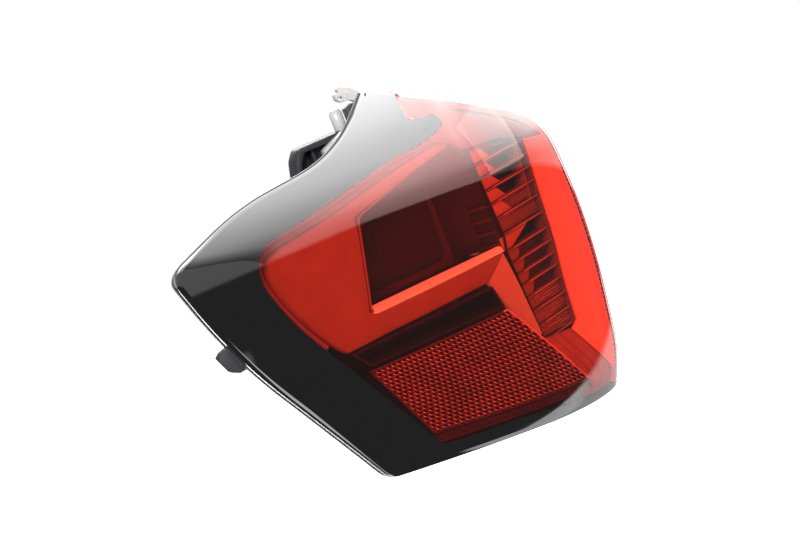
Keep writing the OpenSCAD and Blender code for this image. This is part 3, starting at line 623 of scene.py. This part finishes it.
# Tongue of the border near the peak, printed on the face, and the strip that closes the border's end
PRINT_FRONT, STRIP_FRONT, PRINT_BACK = -0.06, -0.05, 0.3
tongue_line = refined(rounded([
    (28, 70), (28, 63), (38, 62.8), (50.5, 64.2, 6), (64.9, 67.6, 4), (67.8, 72, 3), (66, 76, 3), (56, 78.2, 5),
    (46.5, 80, 3), (37, 79)], 6), 2)
tongue_mid = (52.0, 70.0)
tongue = lay("border_tongue", [
    [behind(mix(tongue_mid, q, t), PRINT_FRONT) for t in (0, 0.25, 0.5, 0.75, 1)]
    + [behind(mix(tongue_mid, q, t), PRINT_BACK) for t in (1, 0.5, 0)]
    for q in tongue_line + tongue_line[:1]], black_pmma)
SEAM_CUTS = 24
seam = [mix((42.7, 65), border_end, k / SEAM_CUTS) for k in range(SEAM_CUTS + 1)]
end_strip = bar("border_end_strip", skin([add(q, (-1.2, 0)) for q in seam], [add(q, (1.3, 0)) for q in seam], 3,
                                         STRIP_FRONT, PRINT_BACK), black_pmma, angle=60)
tongue = join("border_tongue", [tongue, end_strip])
hand_over(tongue, "black_border")

# ---------------------------------------- bezel and its liner
bezel_pairs = [
    ((66, 58), (69, 55.8)), ((40, 55.5), (42, 50.1)), ((14, 52), (20, 45.1)), ((-19, 45.5), (-4, 39.7)),
    ((-46, 41.5), (-11.3, 36.6)), ((-70, 37.5), (-13.3, 26)), ((-77.5, 28), (-15.6, 17)), ((-74, 8), (-19.3, 2)),
    ((-66, -12), (-23.4, -15)), ((-56, -30), (-24.8, -21)), ((-48, -39.5), (-20, -24.2)), ((-8, -39), (0, -24.2)),
    ((28, -38.6), (40, -24.2)), ((59, -38.4), (76, -24.2)), ((64, -53), (79.5, -46)), ((70, -68), (82, -68)),
    ((76, -83), (84.5, -86))]
bezel_ends = [a + b for a, b in bezel_pairs]
smooth_pairs = through(bezel_ends[:11], 7)[:-1]
smooth_pairs += through(bezel_ends[10:14], 5)[:-1] + through(bezel_ends[13:], 5)
# Station of the mitre between the bar below the window and the leg, and the one where the liner ends
MITRE, LINER_END = 85, 64
# Depth of the roll at the outer edge and at the window, the share of the width each takes, and the lean
ROLL_OUT, ROLL_IN, OUT_SHARE, IN_SHARE, LEAN = 2.2, 0.5, 0.07, 0.04, 3.4


def roll(t):
    """Fall of the bezel towards its rolled outer edge, in mm; t is 0 at that edge and 1 at the window."""
    return ROLL_OUT * max(0.0, 1 - t / OUT_SHARE) ** 2 + ROLL_IN * max(0.0, (t - 1 + IN_SHARE) / IN_SHARE) ** 2


def lean(p, t):
    """How far the bar below the window and the leg fall back towards the reflex reflector, in mm."""
    start = min(1.0, max(0.0, (p[0] + 46) / 30)) if p[1] < -30 else 0.0
    return LEAN * start * (1 - t)


cross = [0, 0.012, 0.03, 0.05, 0.075, 0.12, 0.25, 0.4, 0.55, 0.7, 0.85, 0.95, 0.98, 1.0]
bezel_back = BEZEL_GAP + BEZEL_T
# Past the mitre the leg takes the lighter, glowing copy of the lacquer: painted light
bezel = bar("silver_bezel", [
    [behind(mix(p[:2], p[2:], t), BEZEL_GAP + roll(t) + lean(p, t)) for t in cross]
    + [behind(mix(p[:2], p[2:], t), bezel_back + 0.8 * roll(t) + lean(p, t)) for t in reversed(cross)]
    for p in smooth_pairs], [silver_lacquer, silver_leg_painted_lit], angle=20, pick=lambda j, i: int(j >= MITRE))
hand_over(bezel, "bezel_satin", "inner_bezel")

liner_run = [p[:2] for p in smooth_pairs[:LINER_END]]


def liner_strip(name, profile, finish):
    """Strip outside the bezel; the profile gives distances from the bezel and depths behind the lens."""
    return bar(name, [[behind(add(p, away(liner_run, i), c), d) for c, d in profile]
                      for i, p in enumerate(liner_run)], finish, angle=30)


liner_profile = [(0.45, 14.8), (0.45, 16.4), (3.0, 17.2), (8.4, 19.6), (8.4, 17.8), (6.2, 17.0), (6.0, 16.3),
                 (3.4, 15.4), (3.2, 14.9), (1.4, 14.6)]
hand_over(liner_strip("bezel_liner", liner_profile, liner_tone), "bezel_satin", "bezel_liner")
ridge_profile = ((-0.3, 0.9), (-0.15, 0), (0.15, 0), (0.3, 0.9))
# The ridges take the lighter copy of the liner: painted highlights
hand_over(join("bezel_liner_ridges", [
    liner_strip("ridge", [(c + a, d + b) for a, b in ridge_profile], liner_ridge_highlight)
    for c, d in ((1.0, 14.4), (4.9, 15.7))]), "bezel_satin")

# ---------------------------------------- window frame and what lies in it
window = [(68, 54.5), (40, 49.2), (16, 43.6)] + bend((68, 54.5), (-9, 37), (-24, -23), 4)
window += [(-14, 17), (-19, -3)] + bend((-9, 37), (-24, -23), (77, -23), 5)
window += [(-8, -23), (20, -23), (48, -23), (77, -23)]
tub_front, tub_back = -LAMP_DEPTH + 24, -LAMP_DEPTH * (1 - TUB_SHARE)
secs = []
for i, p in enumerate(window):
    o = away(window, i)
    # The lip is widest along the bottom of the window
    w = 0.5 + 2.4 * max(0.0, -o[1]) ** 1.5
    y = behind(p, BEZEL_GAP)[1]
    end = tub_front + 2 - y
    secs.append([(p[0] + o[0] * a, y + b, p[1] + o[1] * a) for a, b in (
        (0.6, 0.9), (0.35, 0.55), (0, 0.52), (-w * 0.5, w * 0.5 + 0.1), (-w, w), (-w - 0.1, w + 0.8),
        (-w, end), (0.6, end))])
# Along the bottom of the window the lip takes the near-white glowing copy of the lacquer: a painted highlight
window_frame = bar("window_lip", secs, [silver_lacquer, silver_lip_painted_highlight], angle=50,
                   pick=lambda j, i: int(away(window, j)[1] < -0.5))
hand_over(window_frame, "bezel_satin", "window_frame")

floor_y = tub_back - 2


def tub_line(d, r, steps=8):
    return rounded([p + (r,) for p in grown([(-24, -23), (56, -23), (56, 51.8), (-9, 37)], d)], steps)


cover_back = plate("smoke_cover_step", flat, tub_line(0.6, 3), (floor_y - 2, floor_y), smoke_step, 0)
step = plate("cover_step", flat, tub_line(0.4, 3), (floor_y - 7, floor_y - 1.5), smoke_step, 0.2)
panel_corners = [(-22, -17.6, 3), (51, -17.6, 9), (54.2, 49.8, 3), (-8, 36, 3)]
panel = plate("cover_panel", flat, refined(rounded(panel_corners, 10), 6), (floor_y - 8.6, floor_y - 6.5),
              smoke_plate, 0.6)
cover = join("smoke_cover", [cover_back, step, panel])
hand_over(cover, "smoke_cover", "smoked_cover")

screen_a, screen_b = (55, floor_y - 5), (80.6, tub_front + 1.8)
sd = unit((screen_b[0] - screen_a[0], screen_b[1] - screen_a[1]))
screen_l = math.dist(screen_a, screen_b)


def on_screen(u, w, z):
    """Place at a distance u along the screen, w behind its front and height z."""
    return (screen_a[0] + sd[0] * u - sd[1] * w, screen_a[1] + sd[1] * u + sd[0] * w, z)


SLOT_AT = 24.0
bars = [block("screen_back", on_screen, (0, screen_l), (1.4, 2.0), (-21, 45), dark_inner, 0.1),
        block("screen_upper", on_screen, (0, screen_l), (0, 1.4), (9.6, 45), smoke_plate, 0.3),
        block("screen_left", on_screen, (0, SLOT_AT), (0, 1.4), (-21, 9.6), smoke_plate, 0.3)]
for k in range(4):
    z = -20.8 + 8.8 * k
    bars.append(block("screen_bar", on_screen, (SLOT_AT - 0.5, screen_l - 0.6), (0, 1.2), (z, z + 1.8),
                      smoke_step, 0.3))
bars.append(block("screen_seal", flat, (47, 61), (floor_y - 4.6, floor_y - 3.4), (-21, 47), smoke_plate, 0.2))
screen = join("slot_screen", bars)
hand_over(screen, "dark_inner", "slotted_screen")

# ---------------------------------------- slat panel
PANEL_AT, PANEL_TURN, PANEL_DEPTH = (79.6, -23.0), math.radians(24), 12.8
panel_y = face(*PANEL_AT) + BEZEL_GAP + BEZEL_T + 1.6
panel_line = [(0.6, 45), (4.3, -16), (1.5, -26), (5.2, -87), (41, -91), (55.6, 35.5)]


def in_panel(u, w, z):
    """Place at a distance u along the slat panel, w behind its front and height z."""
    c, s = math.cos(PANEL_TURN), math.sin(PANEL_TURN)
    return (PANEL_AT[0] + u * c - w * s, panel_y + u * s + w * c, z)


def panel_left(z):
    """Left end of the slats: below the bar they run on behind the leg."""
    return 0.6 + (45 - z) * 8 / 132 - 3.4 * min(1.0, max(0.0, (-16 - z) / 10))


def panel_right(z):
    """Right end of the slats."""
    return 55.6 - (35.5 - z) * 14.6 / 126.5


back_plate = plate("slat_back", in_panel, grown(panel_line, -0.4), (11.6, PANEL_DEPTH), dark_inner, 0)
levels = [45, 34.2, 24.6, 15.9, 6.5, -3.6, -15.2, -26.0, -34.8, -43.2, -51.2, -60, -70, -80.5, -91]
slat_parts = []


def slat_block(name, u, w, z, finish, edge=0.15):
    slat_parts.append(block(name, in_panel, u, w, z, finish, edge))


def slat_plate(name, left, base, top, foot, head, w, finish):
    """A plate in the panel that runs from its left end to foot at its base, and to head at its top."""
    slat_parts.append(plate(name, in_panel, [(left, top), (head, top), (foot, base), (left, base)], w, finish, 0.3))


# Rows from the top: five with a cut facet, the last of them and the next with flutes, one slanting, four with
# mesh, and plain slopes with streaks below
CUT_ROWS, FLUTE_ROWS, SLANT_ROW, MESH_ROWS = range(5), (4, 5), 6, range(7, 11)
for row, (z1, z0) in enumerate(zip(levels, levels[1:])):
    left, right = panel_left(z0) + 0.2, panel_right(z0) - 0.5
    # The thin slat below the row, and its front edge in the lighter coat: a painted highlight
    slat_block("slat", (left, right), (0.2, 12.4), (z0 - 0.35, z0 + 0.35), bright_coat)
    slat_block("slat_edge", (left + 8, right), (0.0, 0.9), (z0 - 0.15, z0 + 0.75), coat_painted_lit, 0.2)
    top, base = z1 - 0.9, z0 + 1.1
    if row in CUT_ROWS:
        # The facet, in the lighter coat as painted light, slants down to the right, and a dark opening follows it
        slat_plate("facet", left, base, top, left + 19, left + 12, (1.6, 3.4), coat_painted_lit)
    if row in FLUTE_ROWS:
        ledge = left + (16 if row in CUT_ROWS else 1)
        slat_block("flute_back", (ledge, right - 1), (4.0, 4.8), (base, top), bright_coat, 0)
        for j in range(26):
            u = left + 17 + j * 1.25
            if u < right - 2 and j != 6:
                slat_block("flute", (u, u + 0.6), (3.2, 4.2), (base + 0.6, top - 0.4), bright_coat)
    elif row == SLANT_ROW:
        slat_plate("facet", left, base, top, left + 8, left + 30, (1.8, 3.6), coat_painted_lit)
    elif row in MESH_ROWS:
        slat_plate("facet", left, base, top, left + 10, left + 14, (1.8, 3.6), bright_coat)
        slat_block("mesh_back", (left + 9, right - 1), (7.0, 7.8), (base, top), smoke_step, 0)
    elif row > SLANT_ROW:
        slat_plate("slope", left, base, top, right - 1, right - 1, (3.2, 5.0), bright_coat)
        # The streaks are raised bars in the lighter coat: painted highlights
        for j in range(4):
            a = left + 8 + (7 * j + 5 * row) % 19
            slat_block("streak", (a, min(a + 9 + 3 * j, right - 1.5)), (2.4 - 0.2 * j, 3.3),
                       (base + 0.4 + 2.1 * j, base + 1.0 + 2.1 * j), coat_painted_lit)


def at_right(off):
    """Places counted from a line that is the given distance left of the slats' right ends."""
    return lambda u, w, z: in_panel(panel_right(z) - off + u, w, z)


for k in range(3):
    slat_parts.append(block("rib", at_right(8), (0, 0.7), (1.0, 12), (28 - 16 * k, 44 - 16 * k), bright_coat, 0.1))
for k in range(40):
    slat_parts.append(block("tooth", at_right(2), (0, 1.2), (1.2, 3.0), (34 - 1.6 * k, 34.7 - 1.6 * k),
                            bright_coat, 0))
inner_frame = grown(panel_line, -0.5)
# The left sides of the rim take the dark inner colour as painted shade; the others take the vapour coating
for i in range(6):
    j = (i + 1) % 6
    slat_parts.append(plate("panel_rim", in_panel, [panel_line[i], panel_line[j], inner_frame[j], inner_frame[i]],
                            (0, PANEL_DEPTH), dark_inner if i < 3 else bright_coat, 0))
hand_over(join("slat_panel", [back_plate] + slat_parts), "bright_plate", "slat_reflector")

# ---------------------------------------- outboard light strip
def inside_wall(aim, m):
    """Point on the line from the hub towards aim, a distance m inside the outline."""
    d = unit(add(aim, HUB, -1))
    return add(HUB, d, reach_to(outline, d) - m)


WALL_GAP, GUIDE_GAP, GUIDE_T, GUIDE_RISE = 4.4, 7.2, 2.4, 3.2
strip_ends = [p + inside_wall((OUTER_X - 14, z), WALL_GAP - 1.1) for p, z in (
    ((128.8, 34.8), 30), ((126, 16), 10), ((123.2, -10), -16), ((121, -36), -42), ((117.4, -62), -68),
    ((116.2, -90), -97), ((107, -94), -144))]
strip_pairs = through(strip_ends[:6], 5)[:-1] + [mix(strip_ends[5], strip_ends[6], k / 6) for k in range(7)]


def sheet(name, pairs, cuts, gap, rise, finish):
    """Sheet between the two ends of each pair, a gap behind the lens and as thick as the light guide."""
    return bar(name, skin([p[:2] for p in pairs], [p[2:] for p in pairs], cuts, gap, gap + GUIDE_T, rise), finish)


strip = sheet("light_strip_guide", strip_pairs, 14, GUIDE_GAP, GUIDE_RISE, light_guide)
hand_over(strip, "light_guide", "light_strip")

# Shield between the upper edge of the lens and the window, the slats and the light strip
shield_ends = [p + inside_wall(mix(PEAK, SHOULDER, k), 9) for p, k in (
    ((36, 63), 0.1), ((52, 60.5), 0.28), ((66, 56.5), 0.44), ((77, 48), 0.6), ((98, 45.6), 0.78),
    ((114, 41.4), 0.93))]
shield_ends += [(123, 38.6) + inside_wall((150, 42), 7),
                (130.4, 34.4) + inside_wall((OUTER_X - 14, 30.2), WALL_GAP - 1)]
shield = sheet("upper_shield_sheet", through(shield_ends, 6), 24, GUIDE_GAP, GUIDE_RISE - 0.6, shield_tone)
hand_over(shield, "bezel_satin", "upper_shield")

# ---------------------------------------- reflex reflector
reflex_top = ((-41, -54), (62, -57))
reflex_bottom = ((-14.6, -109.6), (109, -129.6))
COLS, ROWS = 29, 20
# Cuts of the rim along its long and short sides, its width as a share of the plate, and the cuts of the back
WIDE_CUTS, HIGH_CUTS, RIM_SHARE, BACK_CUTS = 30, 16, 0.026, 12


def on_reflex(s, t, depth):
    """s along the top edge, t from the top edge down, both from 0 to 1."""
    return behind(mix(mix(*reflex_top, s), mix(*reflex_bottom, s), t), depth)


rim_path = [(k / WIDE_CUTS, 0) for k in range(WIDE_CUTS)] + [(1, k / HIGH_CUTS) for k in range(HIGH_CUTS)]
rim_path += [(1 - k / WIDE_CUTS, 1) for k in range(WIDE_CUTS)] + [(0, 1 - k / HIGH_CUTS) for k in range(HIGH_CUTS)]
reflex_end = REFLEX_GAP + REFLEX_T
frame_secs = []
for s, t in rim_path:
    q = mix((s, t), (0.5, 0.5), RIM_SHARE)
    frame_secs.append([on_reflex(s, t, REFLEX_GAP + 0.3), on_reflex(s, t, reflex_end),
                       on_reflex(*q, reflex_end), on_reflex(*q, REFLEX_GAP)])
# The rim is painted brighter along its right side, in the light glowing copy: a painted highlight
reflex_parts = [ring("reflex_rim", frame_secs, [reflex_side, reflex_red],
                     pick=lambda j, i: int(WIDE_CUTS - 2 < j < WIDE_CUTS + HIGH_CUTS))]
back_rows = [(t, REFLEX_GAP + 2.7) for t in (0.0, 0.25, 0.5, 0.75, 1.0)]
back_rows += [(t, reflex_end) for t in (1.0, 0.75, 0.5, 0.25, 0.0)]
reflex_parts.append(bar("reflex_back", [[on_reflex(k / BACK_CUTS, t, d) for t, d in back_rows]
                                        for k in range(BACK_CUTS + 1)], reflex_dark_and_pit_shade))
# One prism cell: a six-sided rim round a pit, modelled once, paired with its staggered neighbour and arrayed
cells = primitive(bpy.ops.mesh.primitive_circle_add, "reflex_cells", vertices=6, radius=2 / 3, fill_type="NGON")


def sink_cell():
    bpy.ops.transform.rotate(value=math.radians(30), orient_axis="Z", center_override=(0, 0, 0))
    bpy.ops.mesh.inset(thickness=0.17, depth=0)
    bpy.ops.transform.translate(value=(0.08, 0.05, 0))
    bpy.ops.mesh.extrude_region_move(TRANSFORM_OT_translate={"value": (0, 0, -1)})
    bpy.ops.transform.resize(value=(0.6, 0.6, 1), center_override=(0, 0, 0))


in_edit(cells, sink_cell)
for m in (reflex_red, reflex_painted_dim, reflex_dark_and_pit_shade):
    cells.data.materials.append(m)
cell_r = max(v.co.x for v in cells.data.vertices)
for q in cells.data.polygons:
    # The sides towards the lower left are painted lit, the other sides of the rim are painted dim and the pit is
    # painted dark as its shade
    outer = [v for v in q.vertices if cells.data.vertices[v].co.xy.length > 0.62]
    mid = sum((cells.data.vertices[v].co for v in outer), Vector()) / max(1, len(outer))
    turn = math.degrees(math.atan2(mid.y, mid.x)) % 360
    q.material_index = 2 if not outer else 0 if 170 < turn < 250 else 1
step_x, step_y = cell_r * 2, 1.0
for count, offset in ((COLS, (step_x, 0, 0)), (2, (step_x / 2, -step_y, 0)), (ROWS // 2, (0, -2 * step_y, 0))):
    apply(cells, "ARRAY", count=count, use_relative_offset=False, use_constant_offset=True,
          constant_offset_displace=offset)
# The pits are this deep, and the rims lie this far behind the face of the plate
PIT, SKIN = 2.2, 0.15
wide_m, high_m = (COLS + 0.1) * step_x, ROWS - 0.2
for v in cells.data.vertices:
    s = min(max((v.co.x + 0.35) / wide_m, 0.006), 0.994)
    t = min(max((0.6 - v.co.y) / high_m, 0.008), 0.992)
    v.co = Vector(on_reflex(s, t, REFLEX_GAP + (PIT if v.co.z < -0.5 else SKIN))) * MM
reflex_parts.append(cells)
hand_over(join("reflex_prisms", reflex_parts), "reflex_red", "reflex_reflector")

# ---------------------------------------- recess, lower optic, corner
def behind_at(u, w, z):
    return behind((u, z), w)


TEETH, TOOTH_STEP = 14, 1.5
teeth = [block("comb_tooth", behind_at, (16 + TOOTH_STEP * k, 16.8 + TOOTH_STEP * k),
               (BEZEL_GAP + 3, BEZEL_GAP + 4.6), (-40.4, -37.6), dark_inner, 0.1) for k in range(TEETH)]
hand_over(join("recess_comb", teeth), "dark_inner")

# A band that narrows to the right, with flutes on it; a flute takes this share of its step
FLUTES, FLUTE_SHARE = 60, 0.45
low_pairs = []
for k in range(FLUTES + 1):
    p, rest = mix(*reflex_bottom, k / FLUTES), 1.8 * k / FLUTES
    low_pairs.append((add(p, (1.8 - rest, -7.3 + rest)), add(p, (0, -0.5))))
low_line = [p for p, q in low_pairs]
low = [bar("lower_band", skin(low_line, [q for p, q in low_pairs], 3, REFLEX_GAP + 0.9, reflex_end), reflex_dark_and_pit_shade)]
for (a, b), (c, d) in zip(low_pairs, low_pairs[1:]):
    low.append(bar("lower_flute", [
        [behind(mix(p, q, t), REFLEX_GAP + h) for t, h in ((0.12, 0.95), (0.12, 0.45), (0.85, 0.45), (0.85, 0.95))]
        for p, q in ((a, b), (mix(a, c, FLUTE_SHARE), mix(b, d, FLUTE_SHARE)))], reflex_side))
low.append(bar("lower_edge", skin(low_line, [mix(p, q, 0.1) for p, q in low_pairs], 1, REFLEX_GAP + 0.2,
                                  REFLEX_GAP + 1.2), reflex_side))
hand_over(join("lower_optic_band", low), "reflex_red", "lower_optic")

near_line = [(83.5, -88.6), (91, -100), (98.5, -111), (104, -120), (106, -130), (102, -141.5)]
far_line = [add(mix(strip_ends[6][:2], strip_ends[6][2:], k / 4), (-0.4, 2.2 - 0.7 * k)) for k in range(5)]
far_line.append(inside_wall((143, -158), 4.4))
corner_pairs = through([a + b for a, b in zip(near_line, far_line)], 5)
CORNER_GAP = 9
arcs = [sheet("corner_deflector", corner_pairs, 12, CORNER_GAP, GUIDE_RISE, corner_tone)]
for at in (0.22, 0.5, 0.93):
    # Places across the sheet and heights above it
    profile = [(at + e, CORNER_GAP - GUIDE_RISE * (at + e) ** 1.5 - h)
               for e, h in ((0, -0.1), (0, 0.7), (0.03, 0.7), (0.05, -0.1))]
    arcs.append(bar("corner_arc", [[behind(mix(p[:2], p[2:], e), d) for e, d in profile] for p in corner_pairs],
                    liner_tone, angle=25))
hand_over(join("corner_deflector", arcs), "bright_plate", "corner_shield")

# ---------------------------------------- CAD nodes that keep their shape
plain = {
    "lens_bead": sealant, "bulb_chamber": dark_inner, "turn_chamber": bright_coat, "led_board": board_green,
    "recess_tray": dark_inner, "tail_reflector": bright_coat, "tail_bulb": bulb_glass, "stop_bulb": bulb_glass,
    "bulb_carrier": carrier_pbt, "contact_strips": brass, "connector_shroud": pbt_black, "connector_pins": brass,
    "carrier_seal": foam, "carrier_screws": zinc, "body_seal": foam, "vent_cap": pbt_black, "bezel_screws": zinc,
    "housing": abs_black, "housing_back": abs_black, "main_stud": zinc_thread, "lower_stud": zinc_thread,
    "upper_stud": zinc_thread, "guide_bracket": acetal, "guide_peg": acetal, "top_tongue": acetal}
slots = {s["node"]: s["material_slot"] for s in frame["record"]["subparts"]}
for name, finish in plain.items():
    nodes[name].data.materials.clear()
    nodes[name].data.materials.append(finish)
rounding = {"guide_bracket": 0.35, "guide_peg": 0.4, "top_tongue": 0.3, "housing": 0.4, "housing_back": 0.5,
            "bulb_carrier": 0.4, "connector_shroud": 0.3, "vent_cap": 0.4, "carrier_screws": 0.2,
            "bezel_screws": 0.2, "main_stud": 0.3, "lower_stud": 0.3, "upper_stud": 0.3}
for name, edge in rounding.items():
    hand_over(copy_of(name + "_rounded", name, plain[name], edge), slots[name], name)

# ---------------------------------------- studio
world = bpy.data.worlds.new("studio_white")
bpy.context.scene.world = world
world.use_nodes = True
world.node_tree.nodes.clear()
# White for the camera, and dimmer as light on matt surfaces and in reflections
MATT_LEVEL, GLOSS_LEVEL = 0.42, 0.22
ray = node(world, "ShaderNodeLightPath")
level = node(world, "ShaderNodeMix", {2: MATT_LEVEL, 3: GLOSS_LEVEL}, {0: (ray, "Is Glossy Ray")})
paper_white = node(world, "ShaderNodeMath", {"operation": "MAXIMUM"}, {0: (ray, "Is Camera Ray"), 1: (level, 0)})
back = node(world, "ShaderNodeBackground", {"Color": (1, 1, 1, 1)}, {"Strength": (paper_white, 0)})
node(world, "ShaderNodeOutputWorld", links={"Surface": (back, 0)})

floor = primitive(bpy.ops.mesh.primitive_circle_add, "studio_floor", vertices=96, radius=2.6, fill_type="NGON",
                  location=(0, 0, -0.42))
paper = blank("matt_white_paper")
white = node(paper, "ShaderNodeBsdfDiffuse", {"Color": shade("FBFBFB")})
glow = node(paper, "ShaderNodeEmission", {"Strength": 0.8})
finish_with(paper, node(paper, "ShaderNodeAddShader", links={0: (white, 0), 1: (glow, 0)}))
floor.data.materials.append(paper)
floor.visible_glossy = False

# A soft tent that only the polished lens reflects: dark in front, bright above and below
tent = primitive(bpy.ops.mesh.primitive_ico_sphere_add, "studio_tent", subdivisions=5, radius=3.0)
cloth = blank("tent_cloth")
place = node(cloth, "ShaderNodeTexCoord")
flatten = node(cloth, "ShaderNodeVectorMath", {"operation": "NORMALIZE"}, {0: (place, "Object")})
axes = node(cloth, "ShaderNodeSeparateXYZ", links={0: (flatten, 0)})


def sums(kind, a, b, c=None):
    """One step of arithmetic on the tent's pattern: each term is a number or (node, output)."""
    n = node(cloth, "ShaderNodeMath", {"operation": kind})
    for k, term in enumerate((a, b, c)):
        if isinstance(term, tuple):
            cloth.node_tree.links.new(term[0].outputs[term[1]], n.inputs[k])
        elif term is not None:
            n.inputs[k].default_value = term
    return (n, 0)


def times(first, *terms):
    """Product of all the terms."""
    for term in terms:
        first = sums("MULTIPLY", first, term)
    return first


def span(value, a, b, low=0.0, high=1.0):
    """Maps a value from a to b onto low to high, and no further."""
    n = node(cloth, "ShaderNodeMapRange", {"From Min": a, "From Max": b, "To Min": low, "To Max": high})
    cloth.node_tree.links.new(value[0].outputs[value[1]], n.inputs["Value"])
    return (n, 0)


X, Y, Z = (axes, "X"), (axes, "Y"), (axes, "Z")
tilt = sums("MULTIPLY_ADD", Y, 0.072, Z)
# Strength of the brightest part
TOP = 22.0
ramp = node(cloth, "ShaderNodeValToRGB")
# On the outboard side the wall brightens sooner
rise = times(sums("MAXIMUM", tilt, 0.0), span(X, 0.6, 1.0, 0.0, 1.3))
RAMP_FROM, RAMP_TO = -0.2, 0.9
cloth.node_tree.links.new(span(sums("ADD", tilt, rise), RAMP_FROM, RAMP_TO)[0].outputs[0], ramp.inputs["Fac"])
steps = [(-0.121, 0.0), (-0.115, 2.4), (0.0, 3.8), (0.10, 6.6), (0.2, 8.4), (0.30, 10.8), (0.41, 13.4),
         (0.53, 15.0), (0.61, 16.8), (0.70, 19.2), (0.78, 20.8), (0.85, TOP)]
bands = ramp.color_ramp.elements
while len(bands) > 1:
    bands.remove(bands[-1])
for k, (at, value) in enumerate(steps):
    spot = (at - RAMP_FROM) / (RAMP_TO - RAMP_FROM)
    e = bands[0] if k == 0 else bands.new(spot)
    e.position = spot
    e.color = (value / TOP,) * 3 + (1,)
# Towards the inboard side the lower part of the bright wall is a darker wedge
wedge = sums("ADD", sums("MULTIPLY_ADD", sums("MINIMUM", X, 0.0), 0.65, tilt), 0.119)
fade = sums("MAXIMUM", span(wedge, 0.0, 0.11, 0.12, 1.0), span(X, -0.02, 0.05))
high = times((ramp, "Color"), TOP, fade)
# and on the outboard side, in front, it is dimmer again
side_dip = times(span(Y, -0.78, -0.55), span(Y, 0.1, -0.2), span(X, 0.68, 0.8, 0.0, 0.36))
low_dip = times(span(X, 0.7, 0.85, 0.0, 0.5), span(tilt, 0.02, -0.08))
high = times(high, sums("SUBTRACT", 1.0, side_dip), sums("SUBTRACT", 1.0, low_dip))
grey = times(span(wedge, -0.004, 0.0, 1.0, 0.0), span(tilt, -0.122, -0.118, 0.0, 1.1))
# Overhead and behind on the inboard side it is dimmer
dim = times(span(Y, -0.55, -0.35), span(X, 0.46, 0.32))
behind_it = span(Y, -0.3, 0.95, 3.6, 1.4)
high = sums("MINIMUM", high, sums("ADD", behind_it, span(dim, 1.0, 0.0, 0.0, 60.0)))
# A low sheet on the outboard side, and a narrow one on the inboard side
low = sums("SUBTRACT", sums("MULTIPLY", Y, 0.223), Z)
low_value = sums("ADD", span(Y, -0.15, 0.4, 2.7, 1.1), span(Y, -0.15, -0.35, 0.0, 2.8))
low_on = times(span(low, 0.398, 0.41), span(X, 0.27, 0.3), low_value)
slim = times(span(X, -0.30, -0.28), span(X, -0.12, -0.14), span(Z, -0.2, -0.25, 0.0, 9.0))
total = sums("ADD", sums("ADD", high, grey), sums("ADD", low_on, slim))
shine = node(cloth, "ShaderNodeEmission", links={"Strength": total})
seen = node(cloth, "ShaderNodeBsdfTransparent")
finish_with(cloth, node(cloth, "ShaderNodeAddShader", links={0: (shine, 0), 1: (seen, 0)}))
tent.data.materials.append(cloth)
tent.visible_camera = tent.visible_diffuse = tent.visible_transmission = tent.visible_shadow = False
tent.visible_volume_scatter = False
polished = bpy.data.collections.new("polished_lens")
for o in (lens, border, foot, tongue):
    polished.objects.link(o)
tent.light_linking.receiver_collection = polished


def softbox(name, at, aim, size, power, shine=0.25):
    data = bpy.data.lights.new(name, "AREA")
    data.shape, data.size, data.energy, data.specular_factor = "SQUARE", size, power, shine
    lamp = bpy.data.objects.new(name, data)
    bpy.context.collection.objects.link(lamp)
    lamp.location = at
    lamp.visible_camera = False
    lamp.rotation_euler = (Vector(aim) - Vector(at)).to_track_quat("-Z", "Y").to_euler()


softbox("key_softbox", (-0.75, -1.6, 1.0), (0, -0.08, 0), 0.7, 50, 1.0)
softbox("fill_softbox", (1.4, -0.6, 0.3), (0, -0.05, 0), 0.8, 6)
softbox("back_softbox", (0.4, 1.6, 0.8), (0, 0, 0), 0.9, 14)

# ---------------------------------------- camera at the photograph's angle
az, el, turn = math.radians(-20), math.radians(10), math.radians(21.5)
CAMERA_FAR, CAMERA_AIM = 1.171, (0, -0.112, 0)
back_v = Vector((math.sin(az) * math.cos(el), -math.cos(az) * math.cos(el), math.sin(el)))
right_v = Vector((math.cos(az), math.sin(az), 0))
up_v = back_v.cross(right_v)
cam_x = right_v * math.cos(turn) - up_v * math.sin(turn)
cam_y = right_v * math.sin(turn) + up_v * math.cos(turn)
camera_data = bpy.data.cameras.new("camera")
camera_data.lens, camera_data.sensor_width = 85, 36
camera = bpy.data.objects.new("camera", camera_data)
bpy.context.collection.objects.link(camera)
axes_3 = Matrix((cam_x, cam_y, back_v)).transposed().to_4x4()
camera.matrix_world = Matrix.Translation(Vector(CAMERA_AIM) + back_v * CAMERA_FAR) @ axes_3
bpy.context.scene.camera = camera
bpy.context.scene.view_settings.view_transform = "Standard"
